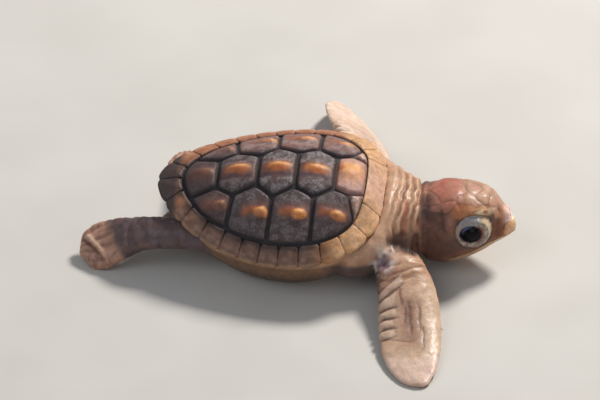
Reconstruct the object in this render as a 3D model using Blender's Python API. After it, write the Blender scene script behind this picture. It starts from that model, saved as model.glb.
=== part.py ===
"""Loggerhead hatchling in mid-crawl: a still, life-size model parted into the pieces of its body.

Forward is +X (the head), the turtle's left is +Y, up is +Z.  Sizes are in millimetres and become
metres when a mesh is made.  The shell plates are lofted on one dome; the flesh is lofted through
rounded sections and parted by thin cuts.
"""
import math

import bmesh
import bpy
import numpy as np
from mathutils import Matrix, Vector

MM = 0.001
GAP = 0.3                     # clearance between neighbouring solids

# --- the shell, in its own frame: u forward, v left, w up, origin in the plane of the rim ---
SHELL_LENGTH = 45.0
SHELL_REAR = 21.9             # from the middle of that length to the tail end, a little short
SHELL_HALF_WIDTH = 18.2
RIM_REAR_POWER = 0.59         # how quickly the outline narrows towards the tail
RIM_FRONT_POWER = 0.36        # the front is blunter
DOME_CENTRE = 4.0             # u of the top of the dome
DOME_HEIGHT = 8.8
DOME_POWER = 1.15
RIM_RISE = 3.0                # the rim climbs this much towards the neck
RIM_RISE_REAR = 3.9           # and towards the tail
FRONT_FULLNESS = 1.5          # the dome stays this much higher over the neck
PLATE_THICKNESS = 1.6
RIM_THICKNESS = 1.1
MARGINAL_WIDTH = 3.7
MARGINAL_WIDTH_REAR = 5.0
MARGINALS = 12                # on each side
NUCHAL_HALF_WIDTH = 6.6       # along the rim
RIM_NOTCH = 0.45              # depth of the notch between two marginals
PLASTRON_DEPTH = 10.6         # below the rim plane
# the body's side below the rim: share of the rim's radius, height
TRUNK_SIDE = ((0.92, -2.4), (0.90, -4.6), (0.84, -6.8), (0.76, -8.3), (0.66, -8.9))
PLASTRON_SIDE = ((0.72, -9.4), (0.71, -10.1), (0.6, -PLASTRON_DEPTH), (0.35, -PLASTRON_DEPTH))
SHELL_HEIGHT_ABOVE_FLOOR = 11.8
SHELL_ROLL = math.radians(10.5)   # the right side is lower
SHELL_PITCH = math.radians(1.7)   # the front is higher

# seams across the back: u, half-width of the vertebral row there
VERTEBRAL_SEAMS = ((18.7, 4.0), (12.9, 4.0), (5.4, 4.4), (-2.1, 3.8), (-10.0, 3.5))
# where the seams between costals meet the vertebral row: u, v
COSTAL_CORNERS = ((15.9, 5.1), (9.2, 6.15), (1.2, 6.3), (-6.6, 5.4))
# u at which those seams, and the rear end of the last costal, reach the marginals
COSTAL_FEET = (17.2, 9.0, 0.6, -7.6, -15.1)
VERTEBRAL_KNOBS = (15.4, 9.2, 1.8, -6.0, -13.0)
COSTAL_KNOBS = ((17.4, 6.0), (13.4, 9.3), (6.0, 9.8), (-1.3, 9.3), (-9.6, 7.4))
KNOB_HEIGHT = 0.55
FIRST_COSTAL_KNOB = 0.4       # share of KNOB_HEIGHT on the small first costal, and on the others
COSTAL_KNOB = 0.85
KNOB_RINGS = ((0.45, 0.35), (0.8, 0.85))   # share of the way to the knob, share of its height
VERTEBRAL_KEEL = 0.5          # how far a knob is drawn out fore and aft
COSTAL_KEEL = 0.35
BEVEL = 0.55                  # width of the slope round a plate's edge
FIRST_COSTAL_BEVEL = 0.3
MARGINAL_BEVEL = 0.4
BEVEL_DROP = 0.4
MARGINAL_RELIEF = 0.15
NUCHAL_KNOB = (20.4, 0.0)
NUCHAL_SHARES = (0.66, 0.33)  # points of its free edge, as shares of its half width
NUCHAL_RELIEF = 0.1
THINS_FROM = 0.8              # share of the rim's radius where a marginal begins to thin
WIDENS_FROM = 0.8             # share of the way round to the tail where the marginals widen
MARGINAL_SWELL = 0.16         # the marginals are longer by this share at both ends of the row
NOTCH_SHARPNESS = 1.3
SEAM_STEP = 0.6               # each way along the rim, to find its direction
SIDE_FOLLOWS = 0.8            # share of the rim's rise that the body's side follows
TRUNK_CLEARANCE = 0.8         # between the plates' underside and the trunk
TRUNK_TOP_CLEARANCE = 0.6
TRUNK_RINGS = (0.35, 0.62, 0.8)
TRUNK_SHOULDER = 0.88
PLASTRON_TOP = 0.62
ENVELOPE_CLEARANCE = 1.1
ENVELOPE_RINGS = (0.4, 0.7, 0.8, 0.9)
ENVELOPE_WIDEST = 1.03
ENVELOPE_TOP = 14.0

# --- the head, in its own frame: origin at the middle of its back, x towards the beak ---
HEAD_ORIGIN = (29.7, -0.4, 9.2)
HEAD_YAW = math.radians(3.0)
HEAD_ROLL = math.radians(-5.0)
HEAD_STATIONS = (             # x, half-width, top, bottom, squareness
    (0.0, 5.6, 6.0, -7.4, 2.4),
    (1.3, 6.1, 6.7, -8.3, 2.5),
    (4.0, 6.4, 7.2, -8.3, 2.7),
    (7.0, 6.4, 7.5, -7.5, 2.8),
    (9.5, 6.0, 7.6, -6.4, 2.8),
    (11.5, 5.3, 7.3, -5.4, 2.7),
    (13.0, 4.5, 6.3, -4.6, 2.5),
    (14.3, 3.7, 4.7, -3.9, 2.4),
    (15.6, 2.9, 3.5, -3.3, 2.3),
    (16.7, 2.0, 2.3, -2.7, 2.2),
    (17.4, 1.1, 1.1, -2.2, 2.0),
)
BEAK_TIP = (17.8, 0.0, -0.7)
EYE_CENTRE = (8.9, 4.0, 0.6)
EYE_RADIUS = 3.0
MOUTH = ((6.0, -5.5), (9.0, -4.5), (12.0, -3.0), (14.5, -2.1), (18.5, -2.0))   # x, z of the lips
UPPER_BEAK_BACK = 14.9
UPPER_BEAK_TOP = 1.9
UPPER_BEAK_SLOPE = 0.8        # its top begins this much further forward
LOWER_BEAK_BACK = 13.4
LOWER_BEAK_ROOM = 1.0         # cleared above it in the jaw's flesh
BELOW_CHIN = -9.5

# --- the neck, in the turtle's frame: x, half-width, top, bottom, sideways roll ---
NECK_STATIONS = (
    (15.0, 14.6, 15.0, 2.6, 10.5),
    (19.0, 14.2, 15.2, 2.4, 10.5),
    (22.0, 12.6, 15.5, 2.3, 9.0),
    (24.5, 10.3, 15.8, 2.2, 6.0),
    (27.0, 8.2, 15.9, 2.2, 1.0),
    (29.0, 6.8, 15.7, 2.1, -3.0),
    (33.0, 6.0, 15.2, 2.2, -5.0),
)
NECK_SQUARENESS = 2.5
LIMB_SQUARENESS = 2.2
LIMB_TIP = 0.6                # a limb ends this share of its last half-width further out

# --- the limbs: points of the middle line, with the half-width ahead of it and behind it,
#     the half-thickness, and the twist of the blade about the line (leading edge down) ---
FRONT_RIGHT = (
    ((24.4, -7.0, 7.6), 3.8, 3.8, 3.4, 0),
    ((25.6, -12.0, 6.4), 4.8, 4.4, 3.1, 0),
    ((27.8, -18.0, 4.3), 5.8, 5.4, 2.4, 4),
    ((29.3, -25.0, 2.3), 5.9, 6.0, 1.6, 4),
    ((30.3, -32.5, 1.1), 5.4, 5.7, 1.1, 2),
    ((31.8, -38.0, 0.7), 3.6, 4.2, 0.8, 0),
    ((32.8, -40.8, 0.5), 1.5, 1.8, 0.6, 0),
)
FRONT_LEFT = (
    ((19.6, 8.6, 9.4), 3.2, 3.2, 2.6, 10),
    ((18.6, 12.2, 9.0), 3.5, 4.0, 3.0, 20),
    ((17.2, 19.6, 7.2), 4.6, 5.6, 2.4, 28),
    ((15.0, 28.2, 5.2), 5.7, 6.1, 1.6, 31),
    ((12.0, 36.6, 3.2), 5.2, 5.7, 1.1, 31),
    ((9.6, 42.6, 2.1), 3.6, 4.0, 0.8, 30),
    ((8.6, 45.2, 1.7), 1.5, 1.7, 0.6, 30),
)
REAR_RIGHT = (
    ((-11.0, -8.2, 7.4), 3.0, 3.0, 2.8, 10),
    ((-17.0, -8.2, 7.6), 3.1, 3.1, 2.7, 15),
    ((-23.5, -7.8, 6.8), 3.5, 3.4, 2.4, 22),
    ((-28.5, -7.4, 4.7), 4.5, 4.4, 1.9, 30),
    ((-32.5, -7.6, 2.8), 4.9, 4.8, 1.5, 34),
    ((-35.0, -7.9, 2.1), 3.7, 3.6, 1.2, 34),
    ((-36.0, -8.1, 1.8), 1.8, 1.8, 0.9, 34),
)
REAR_LEFT = (
    ((-9.0, 8.0, 9.0), 3.0, 3.0, 2.8, 0),
    ((-13.6, 12.6, 7.6), 3.1, 3.1, 2.6, 0),
    ((-16.0, 17.0, 4.6), 3.6, 3.6, 2.2, 0),
    ((-17.6, 20.6, 2.2), 4.4, 4.4, 1.5, 0),
    ((-19.0, 24.0, 1.0), 4.4, 4.4, 1.1, 0),
    ((-20.2, 26.6, 0.6), 2.2, 2.2, 0.8, 0),
)
TAIL = (
    ((-16.0, -0.5, 6.6), 2.6, 2.6, 2.0, 0),
    ((-19.0, -0.9, 5.6), 1.8, 1.8, 1.5, 0),
    ((-21.4, -1.3, 4.2), 1.0, 1.0, 0.9, 0),
    ((-22.4, -1.6, 3.4), 0.6, 0.6, 0.6, 0),
)

SKIN = (0.62, 0.40, 0.27)
HEAD_SKIN = (0.47, 0.23, 0.14)
PLATE = (0.24, 0.17, 0.16)
MARGINAL = (0.42, 0.24, 0.16)
BELLY = (0.66, 0.50, 0.34)
HORN = (0.72, 0.52, 0.30)
EYE = (0.02, 0.02, 0.03)


# ---------------------------------------------------------------- scene

def clear_scene():
    for found in list(bpy.data.objects):
        bpy.data.objects.remove(found, do_unlink=True)


def new_collection(name):
    made = bpy.data.collections.new(name)
    bpy.context.scene.collection.children.link(made)
    return made


def new_frame(name, parent=None, location=(0, 0, 0), rotation=Matrix()):
    """An empty that carries the pieces made in its own coordinates."""
    empty = bpy.data.objects.new(name, None)
    PARTS.objects.link(empty)
    empty.matrix_world = Matrix.Translation(Vector(location) * MM) @ rotation.to_4x4()
    empty.parent = parent
    return empty


def principled(name, colour, roughness):
    material = bpy.data.materials.new(name)
    material.use_nodes = True
    shader = material.node_tree.nodes["Principled BSDF"]
    shader.inputs["Base Color"].default_value = (*colour, 1.0)
    shader.inputs["Roughness"].default_value = roughness
    shader.inputs["Metallic"].default_value = 0.0
    return material


def loft(name, rings, start, end, frame, colour=None, roughness=0.45):
    """A closed solid through rings of equal count, closed by a fan to the point at each end."""
    body = bmesh.new()
    rows = [[body.verts.new(Vector(p) * MM) for p in ring] for ring in rings]
    count = len(rows[0])
    for low, high in zip(rows, rows[1:]):
        for i in range(count):
            j = (i + 1) % count
            body.faces.new((low[i], low[j], high[j], high[i]))
    for row, point in ((rows[0], start), (rows[-1], end)):
        tip = body.verts.new(Vector(point) * MM)
        for i in range(count):
            body.faces.new((row[i], row[(i + 1) % count], tip))
    bmesh.ops.recalc_face_normals(body, faces=body.faces)
    mesh = bpy.data.meshes.new(name)
    body.to_mesh(mesh)
    body.free()
    mesh.shade_smooth()
    mesh.set_sharp_from_angle(angle=math.radians(40))
    return place(name, mesh, frame, colour, roughness)


def place(name, mesh, frame, colour, roughness):
    """A part when it has a colour, otherwise a cutter."""
    made = bpy.data.objects.new(name, mesh)
    if colour:
        PARTS.objects.link(made)
        mesh.materials.append(principled(name, colour, roughness))
    else:
        CUTTERS.objects.link(made)
        made.hide_render = True
        made.display_type = "WIRE"
    made.parent = frame
    return made


def boolean(part, cutter, operation="DIFFERENCE"):
    modifier = part.modifiers.new(cutter.name, "BOOLEAN")
    modifier.operation = operation
    modifier.object = cutter
    modifier.solver = "EXACT"
    return part


# ---------------------------------------------------------------- shell shape

def rim_half_width(t):
    """Half the shell's width at t = -1 (tail) to 1 (neck)."""
    rear, front = RIM_REAR_POWER, RIM_FRONT_POWER
    widest = (rear - front) / (rear + front)
    t = np.clip(t, -1.0, 1.0)
    shape = ((1 + t) / (1 + widest)) ** rear * ((1 - t) / (1 - widest)) ** front
    return SHELL_HALF_WIDTH * shape


RIM_T = np.cos(np.linspace(0.0, math.pi, 1500))
RIM_U = RIM_T * np.where(RIM_T < 0, SHELL_REAR, SHELL_LENGTH / 2)
RIM_V = rim_half_width(RIM_T)
RIM_STEPS = np.hypot(np.diff(RIM_U), np.diff(RIM_V))
RIM_ALONG = np.concatenate(([0.0], np.cumsum(RIM_STEPS)))    # from the neck round to the tail
RIM_HALF_LENGTH = RIM_ALONG[-1]
RIM_ANGLE = np.arctan2(RIM_V, RIM_U - DOME_CENTRE)
RIM_RADIUS = np.hypot(RIM_V, RIM_U - DOME_CENTRE)


def rim_point(along):
    return np.array((np.interp(along, RIM_ALONG, RIM_U), np.interp(along, RIM_ALONG, RIM_V)))


def seam_point(along):
    """The inner edge of the marginals: the rim moved inward by the width of a marginal."""
    before = rim_point(max(along - SEAM_STEP, 0.0))
    after = rim_point(min(along + SEAM_STEP, RIM_HALF_LENGTH))
    tangent = (after - before) / np.linalg.norm(after - before)
    if along < SEAM_STEP:
        tangent = np.array((0.0, 1.0))
    if along > RIM_HALF_LENGTH - SEAM_STEP:
        tangent = np.array((0.0, -1.0))
    inward = np.array((-tangent[1], tangent[0]))
    rearness = np.clip((along / RIM_HALF_LENGTH - WIDENS_FROM) / (1 - WIDENS_FROM), 0.0, 1.0)
    width = MARGINAL_WIDTH + (MARGINAL_WIDTH_REAR - MARGINAL_WIDTH) * rearness
    return rim_point(along) + inward * width


SEAM_ALONG = np.linspace(NUCHAL_HALF_WIDTH, RIM_HALF_LENGTH, 400)
SEAM_U = np.array([seam_point(a)[0] for a in SEAM_ALONG])
# how far round the rim each costal begins, and the last one ends
COSTAL_ALONG = [NUCHAL_HALF_WIDTH] + [float(np.interp(-u, -SEAM_U, SEAM_ALONG)) for u in COSTAL_FEET]


def rim_radius(angle):
    return np.interp(abs(angle), RIM_ANGLE, RIM_RADIUS)


def reach_of(u, v):
    """Share of the way from the top of the dome to the rim, in plan."""
    return math.hypot(v, u - DOME_CENTRE) / rim_radius(math.atan2(abs(v), u - DOME_CENTRE))


def rim_lift(u):
    return (RIM_RISE if u > 0 else RIM_RISE_REAR) * (2 * u / SHELL_LENGTH) ** 2


def ease(start, end, value):
    """0 at start, 1 at end, smooth between."""
    t = min(max((value - start) / (end - start), 0.0), 1.0)
    return t * t * (3 - 2 * t)


def dome_height(u, v):
    """Height of the shell's outer surface above the rim plane."""
    reach = min(reach_of(u, v), 1.0)
    full = ease(9.5, 18.0, u) * ease(22.3, 18.8, u) * ease(10.0, 4.5, abs(v))
    return DOME_HEIGHT * (1 - reach ** 2) ** DOME_POWER + rim_lift(u) + FRONT_FULLNESS * full


def on_dome(points, lift):
    return [(u, v, dome_height(u, v) + lift) for u, v in points]


def inset(outline, distance):
    """A closed outline moved inward by a distance, in plan."""
    pts = np.array(outline)
    before, after = np.roll(pts, 1, axis=0), np.roll(pts, -1, axis=0)
    area = np.sum(pts[:, 0] * after[:, 1] - after[:, 0] * pts[:, 1])
    turn = math.copysign(1.0, area)

    def normal(a, b):
        along = (b - a) / np.linalg.norm(b - a, axis=1, keepdims=True)
        return turn * np.stack((-along[:, 1], along[:, 0]), axis=1)

    first, second = normal(before, pts), normal(pts, after)
    middle = first + second
    middle /= np.linalg.norm(middle, axis=1, keepdims=True)
    stretch = np.clip(np.sum(middle * second, axis=1, keepdims=True), 0.5, 1.0)
    return pts + middle * distance / stretch


def edge(start, end, pieces):
    """Points from start up to, and without, the end of a straight seam."""
    start, end = np.array(start), np.array(end)
    return [tuple(start + (end - start) * i / pieces) for i in range(pieces)]


def seam_run(start, end, pieces):
    """Points along the marginals' inner edge, without the last."""
    return [tuple(seam_point(start + (end - start) * i / pieces)) for i in range(pieces)]


def mirrored(outline):
    return [(u, -v) for u, v in outline]


# ---------------------------------------------------------------- shell plates

def plate(name, outline, knob, colour, relief=KNOB_HEIGHT, keel=0.0, bevel=BEVEL, rim=False):
    """One horny plate on the dome: bevelled round its edge and rising to a low knob.

    keel stretches the knob fore and aft.  A plate on the rim thins towards the edge."""
    outer = inset(outline, GAP / 2)
    shoulder = inset(outer, bevel)
    knob = np.array(knob)

    def toward(amount):
        pull = np.array((amount * (1 - keel), amount))
        return shoulder + (knob - shoulder) * pull

    def depth(u, v):
        if not rim:
            return PLATE_THICKNESS
        outward = np.clip((reach_of(u, v) - THINS_FROM) / (1 - THINS_FROM), 0.0, 1.0)
        return PLATE_THICKNESS + (RIM_THICKNESS - PLATE_THICKNESS) * outward

    middle = outer.mean(axis=0)
    bottom = [(u, v, dome_height(u, v) - depth(u, v)) for u, v in outer]
    rings = [bottom, on_dome(outer, -BEVEL_DROP), on_dome(shoulder, 0.0)]
    if not rim:
        rings += [on_dome(toward(share), relief * height) for share, height in KNOB_RINGS]
    below = (*middle, dome_height(*middle) - depth(*middle))
    above = (*knob, dome_height(*knob) + relief)
    return loft(name, rings, below, above, SHELL, colour)


def vertebral_outline(index):
    """Right-hand edge from front to rear, then the left-hand edge back again."""
    u, half = VERTEBRAL_SEAMS[index]
    if index < 4:
        corner = COSTAL_CORNERS[index]
        rear_u, rear_half = VERTEBRAL_SEAMS[index + 1]
        left = edge((u, half), corner, 2) + edge(corner, (rear_u, rear_half), 2)
        left += edge((rear_u, rear_half), (rear_u, 0.0), 1)
    else:
        foot = COSTAL_ALONG[5]
        left = edge((u, half), seam_point(foot), 3)
        left += seam_run(foot, RIM_HALF_LENGTH, 3)
    rear = (rear_u, 0.0) if index < 4 else tuple(seam_point(RIM_HALF_LENGTH))
    right = mirrored(left[::-1])
    return left + [rear] + right + [(u, 0.0)]


def costal_outline(index):
    """Left side: down the front seam, back along the marginals, up, and along the vertebrals."""
    foot_front, foot_rear = COSTAL_ALONG[index:index + 2]
    top_front = COSTAL_CORNERS[index - 1] if index else VERTEBRAL_SEAMS[0]
    top_middle = VERTEBRAL_SEAMS[index]
    points = edge(top_front, seam_point(foot_front), 2 if index == 0 else 3)
    points += seam_run(foot_front, foot_rear, 2 if index == 0 else 4)
    if index == 4:
        return points + edge(seam_point(foot_rear), top_middle, 3) + edge(top_middle, top_front, 2)
    top_rear = COSTAL_CORNERS[index]
    points += edge(seam_point(foot_rear), top_rear, 2 if index == 0 else 3)
    if index == 0:
        return points + edge(top_rear, top_front, 2)
    return points + edge(top_rear, top_middle, 2) + edge(top_middle, top_front, 2)


def marginal_bounds():
    """Distances round the rim at which the marginals meet, longer towards both ends."""
    lengths = [1 + MARGINAL_SWELL * math.cos(2 * math.pi * (i + 0.5) / MARGINALS)
               for i in range(MARGINALS)]
    scale = (RIM_HALF_LENGTH - NUCHAL_HALF_WIDTH) / sum(lengths)
    return NUCHAL_HALF_WIDTH + np.concatenate(([0.0], np.cumsum(lengths))) * scale


def rim_run(start, end, pieces):
    """The free edge of a marginal, notched where it meets its neighbours, without the last."""
    points = []
    for i in range(pieces):
        part = i / pieces
        u, v = rim_point(start + (end - start) * part)
        notch = RIM_NOTCH * (1 - min(1.0, 4 * part * (1 - part) * NOTCH_SHARPNESS))
        pull = 1 - notch / math.hypot(u - DOME_CENTRE, v)
        points.append((DOME_CENTRE + (u - DOME_CENTRE) * pull, v * pull))
    return points


def marginal_outline(start, end):
    outer = rim_run(start, end, 4)
    last = rim_run(end, end + 1.0, 1)[0]
    inner_start, inner_end = seam_point(start), seam_point(end)
    return (edge(inner_start, outer[0], 2) + outer + edge(last, inner_end, 2)
            + seam_run(end, start, 3))


def nuchal_outline():
    half = NUCHAL_HALF_WIDTH
    corner = rim_run(half, half + 1.0, 1)[0]
    left = seam_run(0.0, half, 3) + edge(seam_point(half), corner, 2) + [corner]
    left += [tuple(rim_point(half * share)) for share in NUCHAL_SHARES]
    return left + [tuple(rim_point(0.0))] + mirrored(left[:0:-1])


def make_plates():
    plate("nuchal", nuchal_outline(), NUCHAL_KNOB, MARGINAL, NUCHAL_RELIEF, rim=True)
    for i in range(5):
        knob = (VERTEBRAL_KNOBS[i], 0.0)
        plate(f"vertebral_{i + 1}", vertebral_outline(i), knob, PLATE, keel=VERTEBRAL_KEEL)
        left = costal_outline(i)
        knob_u, knob_v = COSTAL_KNOBS[i]
        relief = KNOB_HEIGHT * (FIRST_COSTAL_KNOB if i == 0 else COSTAL_KNOB)
        bevel = FIRST_COSTAL_BEVEL if i == 0 else BEVEL
        for side, shape, sign in (("left", left, 1), ("right", mirrored(left), -1)):
            name = f"costal_{side}_{i + 1}"
            plate(name, shape, (knob_u, knob_v * sign), PLATE, relief, COSTAL_KEEL, bevel)
    bounds = marginal_bounds()
    for i, (start, end) in enumerate(zip(bounds, bounds[1:])):
        left = marginal_outline(start, end)
        knob = np.mean((rim_point((start + end) / 2), seam_point((start + end) / 2)), axis=0)
        for side, shape, sign in (("left", left, 1), ("right", mirrored(left), -1)):
            name, middle = f"marginal_{side}_{i + 1}", (knob[0], knob[1] * sign)
            plate(name, shape, middle, MARGINAL, MARGINAL_RELIEF, bevel=MARGINAL_BEVEL, rim=True)


# ---------------------------------------------------------------- trunk and plastron

def dome_ring(reach, height, count=36):
    """A copy of the rim, shrunk towards the middle, at a height that may depend on the place."""
    ring = []
    for i in range(count):
        angle = 2 * math.pi * i / count
        radius = rim_radius(angle if angle <= math.pi else 2 * math.pi - angle) * reach
        u, v = DOME_CENTRE + radius * math.cos(angle), radius * math.sin(angle)
        ring.append((u, v, height(u, v)))
    return ring


def level(height):
    """A height that follows the rise of the rim towards both ends."""
    return lambda u, v: height + rim_lift(u) * SIDE_FOLLOWS


def trunk_rings(grow):
    """The body between the plates and the plastron; grow makes a larger copy to cut with."""
    under = PLATE_THICKNESS + TRUNK_CLEARANCE - grow
    wide = grow / SHELL_HALF_WIDTH
    reaches = (*TRUNK_RINGS, TRUNK_SHOULDER + wide)
    rings = [dome_ring(reach, lambda u, v: dome_height(u, v) - under) for reach in reaches]
    for reach, height in TRUNK_SIDE:
        rings.append(dome_ring(reach + wide, level(height - grow)))
    return rings


def plastron_rings(grow):
    wide = grow / SHELL_HALF_WIDTH
    return [dome_ring(reach + wide, level(height - grow)) for reach, height in PLASTRON_SIDE]


def make_trunk():
    belly = TRUNK_SIDE[-1][1]
    top = (DOME_CENTRE, 0.0, DOME_HEIGHT - PLATE_THICKNESS - TRUNK_TOP_CLEARANCE)
    loft("trunk", trunk_rings(0.0), top, (DOME_CENTRE, 0.0, belly), SHELL, SKIN)
    inner = [dome_ring(PLASTRON_TOP, level(belly - GAP))]
    low = (DOME_CENTRE, 0.0, -PLASTRON_DEPTH)
    high = (DOME_CENTRE, 0.0, belly - GAP)
    boolean(loft("plastron", inner + plastron_rings(0.0), high, low, SHELL, BELLY), FLOOR)
    cutter = trunk_rings(GAP)[:-1] + plastron_rings(GAP)
    low = (DOME_CENTRE, 0.0, -PLASTRON_DEPTH - GAP)
    return loft("trunk_cutter", cutter, top, low, SHELL)


def shell_envelope():
    """Everything from the underside of the plates upward, to keep the flesh clear of them."""
    under = PLATE_THICKNESS + ENVELOPE_CLEARANCE
    rings = [dome_ring(reach, lambda u, v: dome_height(u, v) - under) for reach in ENVELOPE_RINGS]
    rings += [dome_ring(reach, lambda u, v: rim_lift(u) - RIM_THICKNESS - GAP)
              for reach in (1.0, ENVELOPE_WIDEST)]
    rings.append(dome_ring(ENVELOPE_WIDEST, lambda u, v: ENVELOPE_TOP))
    low = (DOME_CENTRE, 0.0, dome_height(DOME_CENTRE, 0.0) - under)
    return loft("shell_envelope", rings, low, (DOME_CENTRE, 0.0, ENVELOPE_TOP + 1.0), SHELL)


# ---------------------------------------------------------------- flesh

def rounded_ring(count, left, right, top, bottom, squareness):
    """Offsets (across, up) of a rounded section; a larger squareness fills the corners."""
    ring = []
    for i in range(count):
        angle = 2 * math.pi * i / count
        c, s = math.cos(angle), math.sin(angle)
        across = math.copysign(abs(c) ** (2 / squareness), c)
        up = math.copysign(abs(s) ** (2 / squareness), s)
        ring.append((across * (left if c > 0 else right), up * (top if s > 0 else -bottom)))
    return ring


def make_neck_shape(name, grow, colour=None):
    rings = []
    for x, half, top, bottom, roll in NECK_STATIONS:
        middle = (top + bottom) / 2
        tall = (top - bottom) / 2 + grow
        turn = math.radians(roll)
        section = rounded_ring(24, half + grow, half + grow, tall, -tall, NECK_SQUARENESS)
        rings.append([(x, y * math.cos(turn) - z * math.sin(turn),
                       middle + y * math.sin(turn) + z * math.cos(turn)) for y, z in section])
    first, last = NECK_STATIONS[0], NECK_STATIONS[-1]
    start = (first[0], 0.0, (first[2] + first[3]) / 2)
    end = (last[0], 0.0, (last[2] + last[3]) / 2)
    return loft(name, rings, start, end, TURTLE, colour)


def spline(values, at):
    """Catmull-Rom through rows of numbers, at a position counted in rows."""
    rows = np.array(values, dtype=float)
    rows = np.vstack((2 * rows[0] - rows[1], rows, 2 * rows[-1] - rows[-2]))
    i = min(int(at), len(values) - 2)
    t = at - i
    a, b, c, d = rows[i:i + 4]
    return 0.5 * (2 * b + (c - a) * t + (2 * a - 5 * b + 4 * c - d) * t ** 2
                  + (3 * b - a - 3 * c + d) * t ** 3)


def limb_rings(points, forward, count=12, steps=13):
    """Flattened sections along a limb's middle line; forward is the side of its leading edge."""
    rows = [(*middle, *sizes) for middle, *sizes in points]
    rings = []
    side = Vector(forward)
    for i in range(steps + 1):
        at = (len(rows) - 1) * i / steps
        row = spline(rows, at)
        ahead = spline(rows, min(at + 0.1, len(rows) - 1)) - spline(rows, max(at - 0.1, 0.0))
        axis = Vector(ahead[:3]).normalized()
        side = (side - axis * axis.dot(side)).normalized()
        up = side.cross(axis) * (1 if side.cross(axis).z > 0 else -1)
        twist = math.radians(row[6])
        wide = side * math.cos(twist) - up * math.sin(twist)
        high = up * math.cos(twist) + side * math.sin(twist)
        middle = Vector(row[:3])
        section = rounded_ring(count, row[3], row[4], row[5], -row[5], LIMB_SQUARENESS)
        rings.append([middle + wide * a + high * b for a, b in section])
    return rings, Vector(points[0][0]), Vector(points[-1][0]) + axis * points[-1][3] * LIMB_TIP


def make_limb(name, points, forward):
    limb = loft(name, *limb_rings(points, forward), TURTLE, SKIN)
    for cutter in (TRUNK_CUTTER, ENVELOPE, NECK_CUTTER, FLOOR):
        boolean(limb, cutter)
    return limb


# ---------------------------------------------------------------- head

def head_shape(name, colour):
    rings = [[(x, y, z) for y, z in rounded_ring(24, half, half, top, bottom, square)]
             for x, half, top, bottom, square in HEAD_STATIONS]
    return loft(name, rings, (0.0, 0.0, 0.0), BEAK_TIP, HEAD, colour)


def side_prism(name, outline, half_width=12.0):
    """A cutter with a given outline in the head's side view."""
    rings = [[(x, y, z) for x, z in outline] for y in (-half_width, half_width)]
    middle_x = sum(x for x, _ in outline) / len(outline)
    middle_z = sum(z for _, z in outline) / len(outline)
    ends = [(middle_x, y, middle_z) for y in (-half_width, half_width)]
    return loft(name, rings, *ends, HEAD)


def lips_from(back, lift):
    """The line of the lips from back to past the beak, raised by lift."""
    start = float(np.interp(back, [x for x, _ in MOUTH], [z for _, z in MOUTH])) + lift
    return [(back, start)] + [(x, z + lift) for x, z in MOUTH if x > back]


def jaw_outline(back, lift):
    """Everything below the lips."""
    return lips_from(back, lift) + [(MOUTH[-1][0], BELOW_CHIN), (back, BELOW_CHIN)]


def beak_outline(back, lift):
    """From the lips up to the top of the beak."""
    top = UPPER_BEAK_TOP - lift
    return lips_from(back, lift) + [(MOUTH[-1][0], top), (back + UPPER_BEAK_SLOPE, top)]


def make_eye(side, sign):
    centre = Vector((EYE_CENTRE[0], EYE_CENTRE[1] * sign, EYE_CENTRE[2]))
    made = []
    for name, radius, colour in ((f"eye_{side}", EYE_RADIUS, EYE),
                                 (f"socket_{side}", EYE_RADIUS + GAP, None)):
        ball = bmesh.new()
        bmesh.ops.create_uvsphere(ball, u_segments=16, v_segments=10, radius=radius * MM)
        turn = Matrix.Rotation(math.radians(90), 4, "X")
        bmesh.ops.transform(ball, matrix=Matrix.Translation(centre * MM) @ turn, verts=ball.verts)
        mesh = bpy.data.meshes.new(name)
        ball.to_mesh(mesh)
        ball.free()
        mesh.shade_smooth()
        made.append(place(name, mesh, HEAD, colour, 0.1))
    return made[1]


def make_head():
    head = head_shape("head", HEAD_SKIN)
    jaw = head_shape("lower_jaw", HEAD_SKIN)
    upper = head_shape("beak_upper", HORN)
    lower = head_shape("beak_lower", HORN)
    sockets = [make_eye("left", 1), make_eye("right", -1)]
    back = MOUTH[0][0]
    jaw_room = side_prism("jaw_room", jaw_outline(back - GAP, GAP))
    jaw_body = side_prism("jaw_body", jaw_outline(back, 0.0))
    beak_room = side_prism("beak_room", beak_outline(UPPER_BEAK_BACK - GAP, -GAP))
    beak_body = side_prism("beak_body", beak_outline(UPPER_BEAK_BACK, GAP))
    tip_room = side_prism("tip_room", jaw_outline(LOWER_BEAK_BACK - GAP, LOWER_BEAK_ROOM))
    tip_body = side_prism("tip_body", jaw_outline(LOWER_BEAK_BACK, 0.0))
    for cutter in (jaw_room, beak_room, *sockets):
        boolean(head, cutter)
    boolean(jaw, jaw_body, "INTERSECT")
    boolean(jaw, tip_room)
    boolean(upper, beak_body, "INTERSECT")
    boolean(lower, tip_body, "INTERSECT")


# ---------------------------------------------------------------- assembly

def box_cutter(name, low, high, frame):
    cube = bmesh.new()
    bmesh.ops.create_cube(cube, size=1.0)
    low, high = Vector(low), Vector(high)
    scale = Matrix.Diagonal((*((high - low) * MM), 1.0))
    bmesh.ops.transform(cube, matrix=Matrix.Translation((low + high) / 2 * MM) @ scale, verts=cube.verts)
    mesh = bpy.data.meshes.new(name)
    cube.to_mesh(mesh)
    cube.free()
    return place(name, mesh, frame, None, 0.5)


def centre_on_floor():
    """Move everything so that the middle of the whole box is over the origin."""
    bpy.context.view_layer.update()
    graph = bpy.context.evaluated_depsgraph_get()
    points = []
    for part in PARTS.objects:
        if part.type == "MESH":
            seen = part.evaluated_get(graph)
            points += [seen.matrix_world @ vertex.co for vertex in seen.data.vertices]
    low = Vector([min(p[i] for p in points) for i in range(3)])
    high = Vector([max(p[i] for p in points) for i in range(3)])
    TURTLE.location = (-(low.x + high.x) / 2, -(low.y + high.y) / 2, -low.z)


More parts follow.
